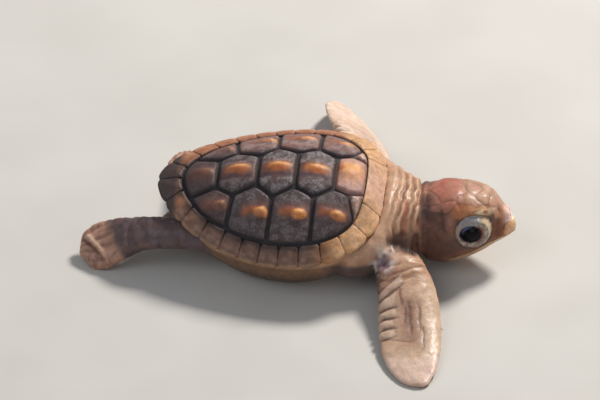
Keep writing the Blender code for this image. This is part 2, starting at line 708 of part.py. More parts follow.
clear_scene()
PARTS = new_collection("loggerhead_hatchling")
CUTTERS = new_collection("cutters")
TURTLE = new_frame("turtle")
SHELL = new_frame("shell", TURTLE, (0.0, 0.0, SHELL_HEIGHT_ABOVE_FLOOR),
                  Matrix.Rotation(SHELL_ROLL, 3, "X") @ Matrix.Rotation(-SHELL_PITCH, 3, "Y"))
HEAD = new_frame("head_frame", TURTLE, HEAD_ORIGIN,
                 Matrix.Rotation(HEAD_YAW, 3, "Z") @ Matrix.Rotation(HEAD_ROLL, 3, "X"))
FLOOR = box_cutter("floor", (-60, -60, -20), (60, 60, 0), TURTLE)
BEYOND_NECK = box_cutter("beyond_neck", (-GAP, -20, -20), (25, 20, 20), HEAD)
make_plates()
TRUNK_CUTTER = make_trunk()
ENVELOPE = shell_envelope()
NECK_CUTTER = make_neck_shape("neck_cutter", GAP)
NECK = make_neck_shape("neck", 0.0, SKIN)
for keep_clear in (TRUNK_CUTTER, ENVELOPE, BEYOND_NECK, FLOOR):
    boolean(NECK, keep_clear)
make_limb("front_flipper_right", FRONT_RIGHT, (1, 0, 0))
make_limb("front_flipper_left", FRONT_LEFT, (1, 0, 0))
make_limb("rear_flipper_right", REAR_RIGHT, (0, -1, 0))
make_limb("rear_flipper_left", REAR_LEFT, (1, 0, 0))
make_limb("tail", TAIL, (0, 1, 0))
make_head()
centre_on_floor()
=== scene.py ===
"""Loggerhead hatchling: the finish of a still, life-size model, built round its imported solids.

The pieces are shaped in the turtle's own frames in millimetres: the shell's (u forward, v left,
w up), the head's (x towards the beak) and the whole turtle's.  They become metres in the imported
model's frame when a mesh is made.  Painted colours are given as they look, 0 to 255.
"""
import itertools
import math

import bmesh
import bpy
import numpy as np
from mathutils import Matrix, Vector


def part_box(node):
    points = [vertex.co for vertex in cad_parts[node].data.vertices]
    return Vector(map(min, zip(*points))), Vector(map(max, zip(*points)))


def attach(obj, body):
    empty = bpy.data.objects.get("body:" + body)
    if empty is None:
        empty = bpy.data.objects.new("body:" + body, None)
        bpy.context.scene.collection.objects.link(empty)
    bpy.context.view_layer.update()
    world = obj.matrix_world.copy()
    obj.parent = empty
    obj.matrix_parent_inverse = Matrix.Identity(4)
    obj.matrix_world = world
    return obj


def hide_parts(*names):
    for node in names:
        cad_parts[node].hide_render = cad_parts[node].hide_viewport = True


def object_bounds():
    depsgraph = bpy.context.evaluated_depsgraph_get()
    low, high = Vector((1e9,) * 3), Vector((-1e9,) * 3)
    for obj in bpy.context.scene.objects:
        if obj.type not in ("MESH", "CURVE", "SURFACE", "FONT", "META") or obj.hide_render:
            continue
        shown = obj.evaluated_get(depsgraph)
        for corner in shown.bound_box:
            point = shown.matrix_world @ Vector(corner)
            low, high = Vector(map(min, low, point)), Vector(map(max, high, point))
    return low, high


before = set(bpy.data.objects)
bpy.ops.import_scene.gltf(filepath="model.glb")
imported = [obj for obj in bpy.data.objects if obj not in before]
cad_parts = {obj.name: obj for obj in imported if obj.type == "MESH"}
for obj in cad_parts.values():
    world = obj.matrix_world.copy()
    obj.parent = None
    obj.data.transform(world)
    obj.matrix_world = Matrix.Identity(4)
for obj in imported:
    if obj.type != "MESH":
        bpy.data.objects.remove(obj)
CAD_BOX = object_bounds()
MM = 0.001

# ---------------------------------------------------------------- sizes shared with the solids

SHELL_LENGTH = 45.0
SHELL_REAR = 21.9             # from the middle of that length to the rear end
SHELL_HALF_WIDTH = 18.2
RIM_REAR_POWER, RIM_FRONT_POWER = 0.59, 0.36
DOME_CENTRE = 4.0
DOME_HEIGHT = 8.8
DOME_POWER = 1.15
RIM_RISE, RIM_RISE_REAR = 3.0, 3.9
FRONT_FULLNESS = 1.5
FULL_U = (9.5, 18.0, 18.8, 22.3)     # where the dome's fuller front starts, is full, fades and ends
FULL_V = (10.0, 4.5)
MARGINAL_WIDTH, MARGINAL_WIDTH_REAR = 3.7, 5.0
MARGINALS = 12
NUCHAL_HALF_WIDTH = 6.6
RIM_NOTCH = 0.45
SHELL_HEIGHT = 11.8
SHELL_ROLL, SHELL_PITCH = 10.5, 1.7
VERTEBRAL_SEAMS = ((18.8, 4.1), (12.9, 4.0), (5.4, 4.4), (-2.1, 3.8), (-10.0, 3.5))
COSTAL_CORNERS = ((15.8, 4.9), (9.2, 6.15), (1.2, 6.3), (-6.6, 5.4))
COSTAL_FEET = (17.2, 9.0, 0.6, -7.6, -15.1)
VERTEBRAL_KNOBS = (15.4, 9.2, 1.8, -6.0, -13.0)
COSTAL_KNOBS = ((17.6, 6.1), (13.4, 9.3), (6.0, 9.8), (-1.3, 9.3), (-9.6, 7.4))

HEAD_ORIGIN = (29.7, -0.4, 9.2)
HEAD_YAW, HEAD_ROLL = 3.0, -5.0
HEAD_STATIONS = (             # x, half-width, top, bottom, squareness
    (0.0, 5.6, 6.0, -7.4, 2.4),
    (1.3, 6.1, 6.7, -8.3, 2.5),
    (4.0, 6.4, 7.2, -8.3, 2.7),
    (7.0, 6.4, 7.5, -7.5, 2.8),
    (9.5, 6.0, 7.6, -6.4, 2.8),
    (11.5, 5.3, 7.3, -5.4, 2.7),
    (13.0, 4.5, 6.3, -4.6, 2.5),
    (14.3, 3.7, 4.7, -3.9, 2.4),
    (15.6, 2.9, 3.5, -3.3, 2.3),
    (16.7, 2.0, 2.3, -2.7, 2.2),
    (17.4, 1.1, 1.1, -2.2, 2.0),
)
EYE_CENTRE = (8.9, 4.0, 0.6)
EYE_RADIUS = 3.0
MOUTH = ((6.0, -5.5), (9.0, -4.5), (12.0, -3.0), (14.5, -2.1), (18.5, -2.0))
UPPER_BEAK_BACK = 14.9
LOWER_BEAK_BACK = 13.4

NECK_STATIONS = (             # x, half-width, top, bottom, sideways roll
    (8.0, 9.0, 12.0, 3.6, 10.5),     # deep in the trunk
    (15.0, 14.6, 15.0, 2.6, 10.5),
    (19.0, 14.2, 15.2, 2.4, 10.5),
    (22.0, 12.6, 15.5, 2.3, 9.0),
    (24.5, 10.3, 15.8, 2.2, 6.0),
    (27.0, 8.2, 15.9, 2.2, 1.0),
    (29.0, 6.8, 15.7, 2.1, -3.0),
    (33.0, 6.0, 15.2, 2.2, -5.0),
)
NECK_SQUARENESS = 2.5

# limbs: points of the middle line, half-width ahead and behind, half-thickness, twist
FRONT_RIGHT = (
    ((24.4, -7.0, 7.6), 3.8, 3.8, 3.4, 0),
    ((25.6, -12.0, 6.4), 4.8, 4.4, 3.1, 0),
    ((27.8, -18.0, 4.3), 5.8, 5.4, 2.4, 4),
    ((29.3, -25.0, 2.3), 5.9, 6.0, 1.6, 4),
    ((30.3, -32.5, 1.1), 5.4, 5.7, 1.1, 2),
    ((31.8, -38.0, 0.7), 3.6, 4.2, 0.8, 0),
    ((32.8, -40.8, 0.5), 1.5, 1.8, 0.6, 0),
)
FRONT_LEFT = (
    ((19.6, 8.6, 9.4), 3.2, 3.2, 2.6, 10),
    ((18.6, 12.2, 9.0), 3.5, 4.0, 3.0, 20),
    ((17.2, 19.6, 7.2), 4.6, 5.6, 2.4, 28),
    ((15.0, 28.2, 5.2), 5.7, 6.1, 1.6, 31),
    ((12.0, 36.6, 3.2), 5.2, 5.7, 1.1, 31),
    ((9.6, 42.6, 2.1), 3.6, 4.0, 0.8, 30),
    ((8.6, 45.2, 1.7), 1.5, 1.7, 0.6, 30),
)
REAR_RIGHT = (
    ((-11.0, -8.2, 7.4), 3.0, 3.0, 2.8, 10),
    ((-17.0, -8.2, 7.6), 3.1, 3.1, 2.7, 15),
    ((-23.5, -7.8, 6.8), 3.5, 3.4, 2.4, 22),
    ((-28.5, -7.4, 4.7), 4.5, 4.4, 1.9, 30),
    ((-32.5, -7.6, 2.8), 4.9, 4.8, 1.5, 34),
    ((-35.0, -7.9, 2.1), 3.7, 3.6, 1.2, 34),
    ((-36.0, -8.1, 1.8), 1.8, 1.8, 0.9, 34),
)
REAR_LEFT = (
    ((-9.0, 8.0, 9.0), 3.0, 3.0, 2.8, 0),
    ((-13.6, 12.6, 7.6), 3.1, 3.1, 2.6, 0),
    ((-16.0, 17.0, 4.6), 3.6, 3.6, 2.2, 0),
    ((-17.6, 20.6, 2.2), 4.4, 4.4, 1.5, 0),
    ((-19.0, 24.0, 1.0), 4.4, 4.4, 1.1, 0),
    ((-20.2, 26.6, 0.6), 2.2, 2.2, 0.8, 0),
)
TAIL = (
    ((-16.0, -0.5, 6.6), 2.6, 2.6, 2.0, 0),
    ((-19.0, -0.9, 5.6), 1.8, 1.8, 1.5, 0),
    ((-21.4, -1.3, 4.2), 1.0, 1.0, 0.9, 0),
    ((-22.4, -1.6, 3.4), 0.6, 0.6, 0.6, 0),
)


# ---------------------------------------------------------------- frames and small maths

def turn(axis, degrees):
    return np.array(Matrix.Rotation(math.radians(degrees), 3, axis))


class Frame:
    """A frame of the turtle's, in millimetres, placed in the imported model."""

    def __init__(self, origin, rotation=np.eye(3)):
        self.origin = np.array(origin, float)
        self.rotation = rotation

    def out(self, points):
        return np.asarray(points, float) @ self.rotation.T + self.origin

    def into(self, points):
        return (np.asarray(points, float) - self.origin) @ self.rotation


def turtle_origin():
    """Where the turtle's own origin lies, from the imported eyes, which stand either side of the head."""
    middle = np.mean([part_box(name) for name in ("eye_left", "eye_right")], axis=(0, 1)) / MM
    return middle - (np.array(HEAD_ORIGIN) + HEAD_TURN @ np.array((EYE_CENTRE[0], 0.0, EYE_CENTRE[2])))


HEAD_TURN = turn("Z", HEAD_YAW) @ turn("X", HEAD_ROLL)
TURTLE = Frame(turtle_origin())
SHELL = Frame(TURTLE.origin + (0, 0, SHELL_HEIGHT), turn("X", SHELL_ROLL) @ turn("Y", -SHELL_PITCH))
HEAD = Frame(TURTLE.origin + HEAD_ORIGIN, HEAD_TURN)


def ramp(low, high, x):
    """0 below low, 1 above high, and smooth between them; low may be the greater."""
    t = np.clip((np.asarray(x, float) - low) / (high - low), 0.0, 1.0)
    return t * t * (3 - 2 * t)


def between(x, start, full, fade, end):
    """1 from full to fade, and 0 before start and after end."""
    return ramp(start, full, x) * ramp(end, fade, x)


def bell(x, width):
    return np.exp(-(np.asarray(x, float) / width) ** 2)


def hump(x, y, long, wide):
    """A bell over two numbers."""
    return np.exp(-((x / long) ** 2 + (y / wide) ** 2))


def gap_to(points, centre, stretch=1.0):
    """How far each point is from a centre; stretch counts the axes differently."""
    return np.linalg.norm((points - np.array(centre)) * stretch, axis=1)


def noise(points, cell, seed=0):
    """Smooth noise from -1 to 1 whose features are about a cell across."""
    table = np.random.default_rng(seed).uniform(-1, 1, 4096)
    scaled = np.asarray(points, float) / cell
    base = np.floor(scaled).astype(np.int64)
    part = scaled - base
    part = part * part * (3 - 2 * part)
    total = np.zeros(len(scaled))
    for corner in itertools.product((0, 1), repeat=3):
        at = base + corner
        key = (at[:, 0] * 73856093 ^ at[:, 1] * 19349663 ^ at[:, 2] * 83492791) % len(table)
        total += table[key] * np.prod(np.where(corner, part, 1 - part), axis=1)
    return total


def line_noise(x, cell, seed):
    """Noise that changes along one number only."""
    return noise(np.c_[x, x, x], cell, seed)


def srgb(red, green, blue):
    """A colour given as it looks, 0 to 255, made linear."""
    c = np.array((red, green, blue), float) / 255
    return np.where(c <= 0.04045, c / 12.92, ((c + 0.055) / 1.055) ** 2.4)


class Paint:
    """A colour at each vertex, laid on in coats."""

    def __init__(self, rgb):
        self.rgb = rgb

    @classmethod
    def plain(cls, count, *colour):
        return cls(np.tile(srgb(*colour), (count, 1)))

    def coats(self, where, *layers):
        """Coats in turn, each a share and a colour, all of them held to one part."""
        for share, *colour in layers:
            share = np.broadcast_to(np.clip(where * share, 0, 1), len(self.rgb))
            self.rgb += (srgb(*colour) - self.rgb) * share[:, None]


# ---------------------------------------------------------------- meshes

def linked(name, data):
    made = bpy.data.objects.new(name, data)
    bpy.context.scene.collection.objects.link(made)
    return made


def reworked(mesh, change):
    """The same mesh, after a change to its bmesh."""
    body = bmesh.new()
    body.from_mesh(mesh)
    change(body)
    body.to_mesh(mesh)
    body.free()
    return mesh


def make_mesh(name, points, faces, space):
    """An object whose closed mesh holds points, given in millimetres in a frame of the turtle's."""
    mesh = bpy.data.meshes.new(name)
    mesh.from_pydata((space.out(points) * MM).tolist(), [], faces)
    mesh.validate()
    mesh.shade_smooth()
    reworked(mesh, lambda body: bmesh.ops.recalc_face_normals(body, faces=body.faces))
    return linked(name, mesh)


def ring_faces(rows, count):
    """Quads between rows of equal, closed rings of vertices."""
    faces = []
    for low, high in zip(range(0, rows * count, count), range(count, rows * count, count)):
        for i in range(count):
            j = (i + 1) % count
            faces.append((low + i, low + j, high + j, high + i))
    return faces


def lofted(rings, start, end):
    """Points and faces of a closed loft through rings, with a fan to a point at each end."""
    count = len(rings[0])
    points = np.vstack([*rings, [start], [end]])
    faces = [face[::-1] for face in ring_faces(len(rings), count)]
    first_tip, last_tip, last = len(points) - 2, len(points) - 1, len(points) - 2 - count
    for i in range(count):
        j = (i + 1) % count
        faces += [(first_tip, i, j), (last_tip, last + j, last + i)]
    return points, faces


def triples(rows, field):
    values = np.empty(len(rows) * 3, np.float32)
    rows.foreach_get(field, values)
    return values.reshape(-1, 3).astype(float)


def coordinates(mesh):
    return triples(mesh.vertices, "co")


def normals(mesh):
    return triples(mesh.vertex_normals, "vector")


def corners(mesh):
    """The vertex numbers of each face."""
    return [tuple(face.vertices) for face in mesh.polygons]


def move(mesh, points):
    mesh.vertices.foreach_set("co", np.asarray(points, np.float32).ravel())
    mesh.update()


def finish_piece(made, paint, slot, *nodes, look=None, frost=None):
    """Give a piece its colours and its material, put it on the body, and hide the solids it stands for."""
    tint = made.data.attributes.new("tint", "FLOAT_COLOR", "POINT")
    rgba = np.hstack((paint.rgb, np.ones((len(paint.rgb), 1))))
    tint.data.foreach_set("color", rgba.astype(np.float32).ravel())
    if frost is not None:
        layer = made.data.attributes.new("frost", "FLOAT", "POINT")
        layer.data.foreach_set("value", frost.astype(np.float32))
    made.data.materials.clear()
    made.data.materials.append(MATERIALS[look or slot])
    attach(made, "root")
    if nodes:
        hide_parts(*nodes)


# ---------------------------------------------------------------- the shell's form

def rim_half_width(t):
    rear, front = RIM_REAR_POWER, RIM_FRONT_POWER
    widest = (rear - front) / (rear + front)
    shape = ((1 + t) / (1 + widest)) ** rear * ((1 - t) / (1 - widest)) ** front
    return SHELL_HALF_WIDTH * shape


def lengths_along(points):
    """The distance from the first point to each, step by step."""
    return np.concatenate(([0.0], np.cumsum(np.linalg.norm(np.diff(points, axis=0), axis=1))))


RIM_T = np.cos(np.linspace(0.0, math.pi, 1500))
RIM_U = RIM_T * np.where(RIM_T < 0, SHELL_REAR, SHELL_LENGTH / 2)
RIM_V = rim_half_width(RIM_T)
RIM_ALONG = lengths_along(np.c_[RIM_U, RIM_V])
RIM_HALF_LENGTH = RIM_ALONG[-1]
RIM_ANGLE = np.arctan2(RIM_V, RIM_U - DOME_CENTRE)
RIM_RADIUS = np.hypot(RIM_V, RIM_U - DOME_CENTRE)


def rim_radius(angle):
    return np.interp(np.abs(angle), RIM_ANGLE, RIM_RADIUS)


def reach_of(u, v):
    """0 at the top of the dome, 1 on the rim."""
    return np.hypot(v, u - DOME_CENTRE) / rim_radius(np.arctan2(np.abs(v), u - DOME_CENTRE))


def rim_lift(u):
    return np.where(u > 0, RIM_RISE, RIM_RISE_REAR) * (2 * u / SHELL_LENGTH) ** 2


def dome_height(u, v):
    """Height of the solid plates' outer surface above the rim plane."""
    reach = np.clip(reach_of(u, v), 0.0, 1.0)
    full = between(u, *FULL_U) * ramp(*FULL_V, np.abs(v))
    return DOME_HEIGHT * (1 - reach ** 2) ** DOME_POWER + rim_lift(u) + FRONT_FULLNESS * full


def rim_point(along):
    """On the rim, a distance round from the neck; negative distances are on the right side."""
    side = np.sign(along) if along else 1.0
    reach = min(abs(along), 2 * RIM_HALF_LENGTH - abs(along))
    if abs(along) > RIM_HALF_LENGTH:
        side = -side
    return np.array((np.interp(reach, RIM_ALONG, RIM_U), side * np.interp(reach, RIM_ALONG, RIM_V)))


def marginal_width(along):
    rearness = np.clip((abs(along) / RIM_HALF_LENGTH - 0.8) / 0.2, 0.0, 1.0)
    return MARGINAL_WIDTH + (MARGINAL_WIDTH_REAR - MARGINAL_WIDTH) * rearness


def seam_point(along):
    """The inner edge of the marginals."""
    step = 0.6
    tangent = rim_point(along + step) - rim_point(along - step)
    tangent /= np.linalg.norm(tangent)
    return rim_point(along) + np.array((-tangent[1], tangent[0])) * marginal_width(along)


SEAM_ALONG = np.linspace(NUCHAL_HALF_WIDTH, RIM_HALF_LENGTH, 400)
SEAM_U = np.array([seam_point(a)[0] for a in SEAM_ALONG])
COSTAL_ALONG = [NUCHAL_HALF_WIDTH] + [float(np.interp(-u, -SEAM_U, SEAM_ALONG)) for u in COSTAL_FEET]


def run(curve, start, end, step=0.12):
    """Closely spaced points of a curve from start up to, and without, its end."""
    pieces = max(2, int(abs(end - start) / step))
    return [curve(start + (end - start) * i / pieces) for i in range(pieces)]


def straight(start, end):
    start, end = np.array(start, float), np.array(end, float)
    length = np.linalg.norm(end - start)
    return run(lambda at: start + (end - start) * at / length, 0.0, length)


def path(*stops):
    """Straight seams from stop to stop, without the last."""
    return [point for start, end in zip(stops, stops[1:]) for point in straight(start, end)]


def mirrored(points):
    return [np.array((p[0], -p[1])) for p in points]


def both_sides(left, rear):
    """An outline from its left half, which starts on the middle line, and its rear point."""
    return left + [rear] + mirrored(left[:0:-1])


def vertebral_outline(index):
    u, half = VERTEBRAL_SEAMS[index]
    left = path((u, 0.0), (u, half))
    if index == 4:
        foot = COSTAL_ALONG[5]
        left += path((u, half), seam_point(foot)) + run(seam_point, foot, RIM_HALF_LENGTH)
        return both_sides(left, seam_point(RIM_HALF_LENGTH))
    rear_u, rear_half = VERTEBRAL_SEAMS[index + 1]
    left += path((u, half), COSTAL_CORNERS[index], (rear_u, rear_half), (rear_u, 0.0))
    return both_sides(left, np.array((rear_u, 0.0)))


def costal_outline(index):
    foot_front, foot_rear = COSTAL_ALONG[index:index + 2]
    top_front = COSTAL_CORNERS[index - 1] if index else VERTEBRAL_SEAMS[0]
    tops = COSTAL_CORNERS[index:index + 1]
    if index:
        tops += (VERTEBRAL_SEAMS[index],)
    points = path(top_front, seam_point(foot_front)) + run(seam_point, foot_front, foot_rear)
    return points + path(seam_point(foot_rear), *tops, top_front)


def marginal_bounds():
    """Where the marginals' seams meet the rim; the plates are longest in front and behind."""
    lengths = [1 + 0.16 * math.cos(2 * math.pi * (i + 0.5) / MARGINALS) for i in range(MARGINALS)]
    scale = (RIM_HALF_LENGTH - NUCHAL_HALF_WIDTH) / sum(lengths)
    return NUCHAL_HALF_WIDTH + np.concatenate(([0.0], np.cumsum(lengths))) * scale


def notched_rim(start, end):
    """The free edge between two seams, drawn in a little at both."""
    def curve(along):
        part = (along - start) / (end - start)
        notch = RIM_NOTCH * max(0.0, 1 - 5.2 * part * (1 - part)) ** 1.5
        point = rim_point(along) - (DOME_CENTRE, 0)
        return point * (1 - notch / np.linalg.norm(point)) + (DOME_CENTRE, 0)
    return run(curve, start, end) + [curve(end)]


def marginal_outline(start, end):
    outer = notched_rim(start, end)
    ends = straight(seam_point(start), outer[0]), straight(outer[-1], seam_point(end))
    return ends[0] + outer[:-1] + ends[1] + run(seam_point, end, start)


def nuchal_outline():
    half = NUCHAL_HALF_WIDTH
    left = run(seam_point, 0.0, half) + straight(seam_point(half), rim_point(half))
    return both_sides(left + run(rim_point, half, 0.0), rim_point(0.0))


def closed_smooth(points, width, step):
    """Round the corners of a closed outline with a bell-shaped average."""
    reach = int(3 * width / step)
    weights = np.exp(-0.5 * (np.arange(-reach, reach + 1) * step / width) ** 2)
    weights /= weights.sum()
    wrapped = np.concatenate((points[-reach:], points, points[:reach]))
    return np.stack([np.convolve(wrapped[:, k], weights, "valid") for k in (0, 1)], axis=1)


def resampled(points, count):
    """The same closed outline in equal steps."""
    closed = np.vstack((points, points[:1]))
    along = lengths_along(closed)
    at = np.linspace(0.0, along[-1], count, endpoint=False)
    return np.stack([np.interp(at, along, closed[:, k]) for k in (0, 1)], axis=1)


def pulled_in(points, distance):
    """A closed outline moved inward; distance may differ from point to point."""
    tangent = np.roll(points, -2, axis=0) - np.roll(points, 2, axis=0)
    tangent /= np.linalg.norm(tangent, axis=1, keepdims=True)
    after = np.roll(points, -1, axis=0)
    area = np.sum(points[:, 0] * after[:, 1] - after[:, 0] * points[:, 1])
    inward = math.copysign(1.0, area) * np.stack((-tangent[:, 1], tangent[:, 0]), axis=1)
    return points + inward * np.reshape(distance, (-1, 1))


def distance_to(outline, points):
    """Shortest distance in plan from each point to the corners of an outline."""
    gaps = points[:, None, :] - outline[None, :, :]
    return np.sqrt((gaps ** 2).sum(axis=2).min(axis=1))


# ---------------------------------------------------------------- horny plates

SEAM_DEPTH = 0.92             # the dark bed between plates lies this far below them
SEAM_HALF_WIDTH = 0.15
SEAM_NARROWING = 0.08         # taken off it round the neck
SCUTE_SIDE, SCUTE_DEPTH = 1.06, 1.25     # depth of a plate's side and of its underside
SCUTE_SINK = 0.34             # the cushions' rise, taken off again so that their tops stay level
SCUTE_POINTS = 144            # round a plate
SCUTE_ROWS = (0.0, 0.04, 0.09, 0.15, 0.22, 0.3, 0.4, 0.52, 0.66, 0.82, 1.0, 1.2)    # in from the edge
SCUTE_INNER_ROWS = 18
CORNER_ROUNDING, RIM_ROUNDING = 0.72, 0.12
PALE_SHIFT = 2.3              # how far to the left the paler first plate's amber lies
VERTEBRAL_WARMTH = (1.0, 1.0, 1.0, 0.8, 0.15)      # how amber each keel is, front to back
COSTAL_WARMTH = (0.2, 0.75, 1.0, 0.85, 0.2)


def knob_form(du, dv, keeled):
    """0 to 1: a low hump, drawn out forward and steeper behind, as on a hatchling's plates."""
    ahead, behind, half = (2.2, 2.1, 1.3) if keeled else (1.8, 1.5, 1.15)
    return hump(du, dv, np.where(du > 0, ahead, behind), half)


def drop_form(du, dv):
    """The knob of a costal plate: a low ridge that swells to a drop at its front, 0 to 1."""
    ridge = bell(dv - 0.25, 0.75) * between(du, -3.6, -0.6, 1.0, 2.6)
    return np.maximum(0.45 * ridge, hump(du - 0.7, dv + 0.15, 1.5, 0.95))


def cushion_form(from_edge, free):
    """Height of a plate's pillow by the distance from its edge; free is 1 along the shell's rim."""
    pillow = SCUTE_SINK * (1 - np.exp(-from_edge / 1.3)) - 0.62 * (1 - ramp(-0.12, 0.72, from_edge)) ** 1.3
    lip = 0.10 * (1 - np.exp(-from_edge / 0.8)) - 0.22 * (1 - ramp(-0.1, 0.36, from_edge)) ** 1.4 + 0.14
    return pillow + (lip - pillow) * free


def scute(name, outline, knob, keeled=False, rim=False, relief=0.5, warm=1.0, pale=0.0):
    """One horny plate: soft-edged, cushioned, rising to its knob."""
    dense = resampled(np.array(outline), 4 * SCUTE_POINTS)
    dense = closed_smooth(dense, RIM_ROUNDING if rim else CORNER_ROUNDING, 0.06)
    edge = resampled(dense, SCUTE_POINTS)
    inset = SEAM_HALF_WIDTH - SEAM_NARROWING * ramp(14.5, 18.0, edge[:, 0])
    if rim:                                   # the free edge stays on the rim of the solid plate
        reach = reach_of(*edge.T)
        inset = inset * (0.2 + 0.8 * ramp(0.86, 0.81, reach)) * (1 - ramp(0.93, 0.985, reach))
    edge = pulled_in(edge, inset)
    middle = edge.mean(axis=0) if rim else np.array(knob, float)
    inward = middle - edge
    size = np.linalg.norm(inward, axis=1).mean()
    shares = [distance / size for distance in SCUTE_ROWS]
    shares += [shares[-1] + (1 - shares[-1]) * i / SCUTE_INNER_ROWS for i in range(1, SCUTE_INNER_ROWS)]
    flat = np.vstack([edge + inward * share for share in shares] + [middle])
    from_edge = distance_to(edge, flat)
    free = np.maximum(ramp(0.80, 0.86, reach_of(*flat.T)), 0.4 + 0.6 * ramp(15, 18, flat[:, 0])) * rim
    height = dome_height(*flat.T) + cushion_form(from_edge, free) - SCUTE_SINK
    level = np.c_[flat, np.zeros(len(flat))]
    grain = 0.022 * noise(level, 0.5, 3) + 0.035 * noise(level, 1.4, 4)
    height += grain * ramp(0.1, 0.8, from_edge)
    du, dv = (flat - knob).T
    form = knob_form(du, dv, keeled) if keeled or rim else drop_form(du, dv)
    height += form * relief * ramp(0.2, 1.4, from_edge)
    top = np.c_[flat, height]
    free, base = free[:SCUTE_POINTS, None], dome_height(*edge.T)[:, None]
    side = np.hstack((edge + inward * 0.01 * free, base - SCUTE_SIDE + 0.3 * free))
    foot = np.hstack((edge + inward * (0.05 + 0.05 * free), base - SCUTE_DEPTH + 0.2 * free))
    rings = [*np.split(top[:-1], len(shares))[::-1], side, foot]
    points, faces = lofted(rings, top[-1], (*middle, dome_height(*middle) - SCUTE_DEPTH))
    from_edge = distance_to(edge, points[:, :2])
    if rim:
        paint, frost = paint_marginal(points, knob, from_edge)
    else:
        paint, frost = paint_plate(points, knob, from_edge, keeled, warm, pale)
    finish_piece(make_mesh(f"scute_{name}", points, faces, SHELL), paint, "marginal" if rim else "plate",
                 name, look="scute", frost=np.clip(frost * ramp(0.1, 0.5, from_edge), 0, 1))


def paint_marginal(points, knob, from_edge):
    """Taupe with a dark inner half and a pale lip; painted lighter and orange on the left as sunlit, tan
    in front, darkened behind with painted shade.
    """
    u, v = points[:, 0], points[:, 1]
    reach, patch, fine = reach_of(u, v), noise(points, 0.9, 12), noise(points, 0.35, 13)
    inner = 1 - ramp(0.85, 0.90, reach + 0.010 * patch)
    front = ramp(11.5, 15.5, u)
    left = ramp(2.0, 10.0, v) * (1 - front)
    heart = hump(u - knob[0], v - knob[1], 1.5, 1.5)
    dark = (1 - ramp(0.02, 0.12, from_edge)) * (1 - ramp(0.88, 0.94, reach)) * (1 - 0.6 * front)
    brink = (1 - ramp(0.05, 0.40, from_edge)) * ramp(0.85, 0.82, reach) * (1 - 0.7 * front)
    paint = Paint.plain(len(points), 106, 77, 63)
    paint.coats(1, (0.45 * ramp(-0.2, 0.7, patch), 124, 92, 76),
                (0.92 * inner, 52, 35, 32),
                (0.6 * bell(reach - 0.945, 0.025) * ramp(-0.6, 0.4, patch), 146, 114, 98),
                (0.7 * ramp(0.972, 0.992, reach), 156, 122, 94),
                (0.7 * heart * ramp(-12.0, -18.0, u), 158, 100, 62))
    # painted light: the far left side is painted lighter and more orange, as where the sun falls on it
    paint.coats(left, (0.85, 176, 112, 72),
                (0.55 * inner, 146, 88, 64),
                (0.55 * ramp(0.90, 1.0, reach) * ramp(-0.4, 0.5, patch), 196, 148, 122),
                (0.4 * ramp(0.0, 0.6, -patch), 138, 88, 70))
    paint.coats(1, (0.8 * ramp(9.0, 12.5, u) * (1 - left), 150, 98, 60))
    paint.coats(front, (0.95, 202, 154, 108),
                (0.55 * ramp(0.0, 0.6, patch), 212, 172, 140),
                (0.7 * ramp(17.0, 20.0, u) * bell(v, 6.0), 204, 162, 144))
    # painted shade: the rear plates darkened, as they face away from the light
    paint.coats(1, (0.93 * ramp(-16.9, -18.6, u), 48, 38, 40),
                # dark edges by the seams: the seams' own colour, with painted shade on the plates' rounded
                # edges
                (0.6 * dark, 40, 28, 28),
                (0.95 * brink, 30, 25, 30),
                (0.25 * ramp(0.1, 0.8, -fine), 66, 48, 42))
    return paint, 0.3 * ramp(0.0, 0.7, patch) * (0.3 + 0.7 * left)


def paint_plate(points, knob, from_edge, keeled, warm, pale):
    """Grey-brown with an amber knob or keel, painted lighter on the left as sunlit, and dark at its edges,
    partly painted shade; warm is its amber's strength, pale how much paler it is.
    """
    u, v = points[:, 0], points[:, 1]
    cloud, patch, fine = noise(points, 2.2, 11), noise(points, 0.9, 12), noise(points, 0.35, 13)
    left = ramp(4.5, 7.5, v)
    paint = Paint.plain(len(points), 68, 53, 53)
    paint.coats(1, (0.5 * ramp(-0.3, 0.8, cloud), 84, 66, 66),
                (0.4 * ramp(0.0, 0.8, -cloud), 56, 47, 54),
                # painted light: plates on the far left side painted lighter, as where the sun falls
                (0.75 * left, 140, 98, 86),
                (0.45 * (1 - warm), 66, 48, 47))
    du, dv = u - knob[0], v - knob[1]
    if keeled:
        frost = paint_keel(paint, du, dv + 0.3 + 0.22 * patch, patch, warm, pale)
    else:
        frost = paint_drop(paint, du, dv, patch, fine, left, ramp(-4.5, -7.5, v), warm, pale)
    # dark edges by the seams: the seams' own colour, with painted shade on the plate's rounded edges
    paint.coats(1, (0.88 * (1 - ramp(0.02, 0.5, from_edge)) * (1 - 0.45 * pale), 30, 25, 31),
                (0.22 * ramp(0.1, 0.8, -fine), 56, 42, 40))
    return paint, frost * (1 - 0.6 * pale)


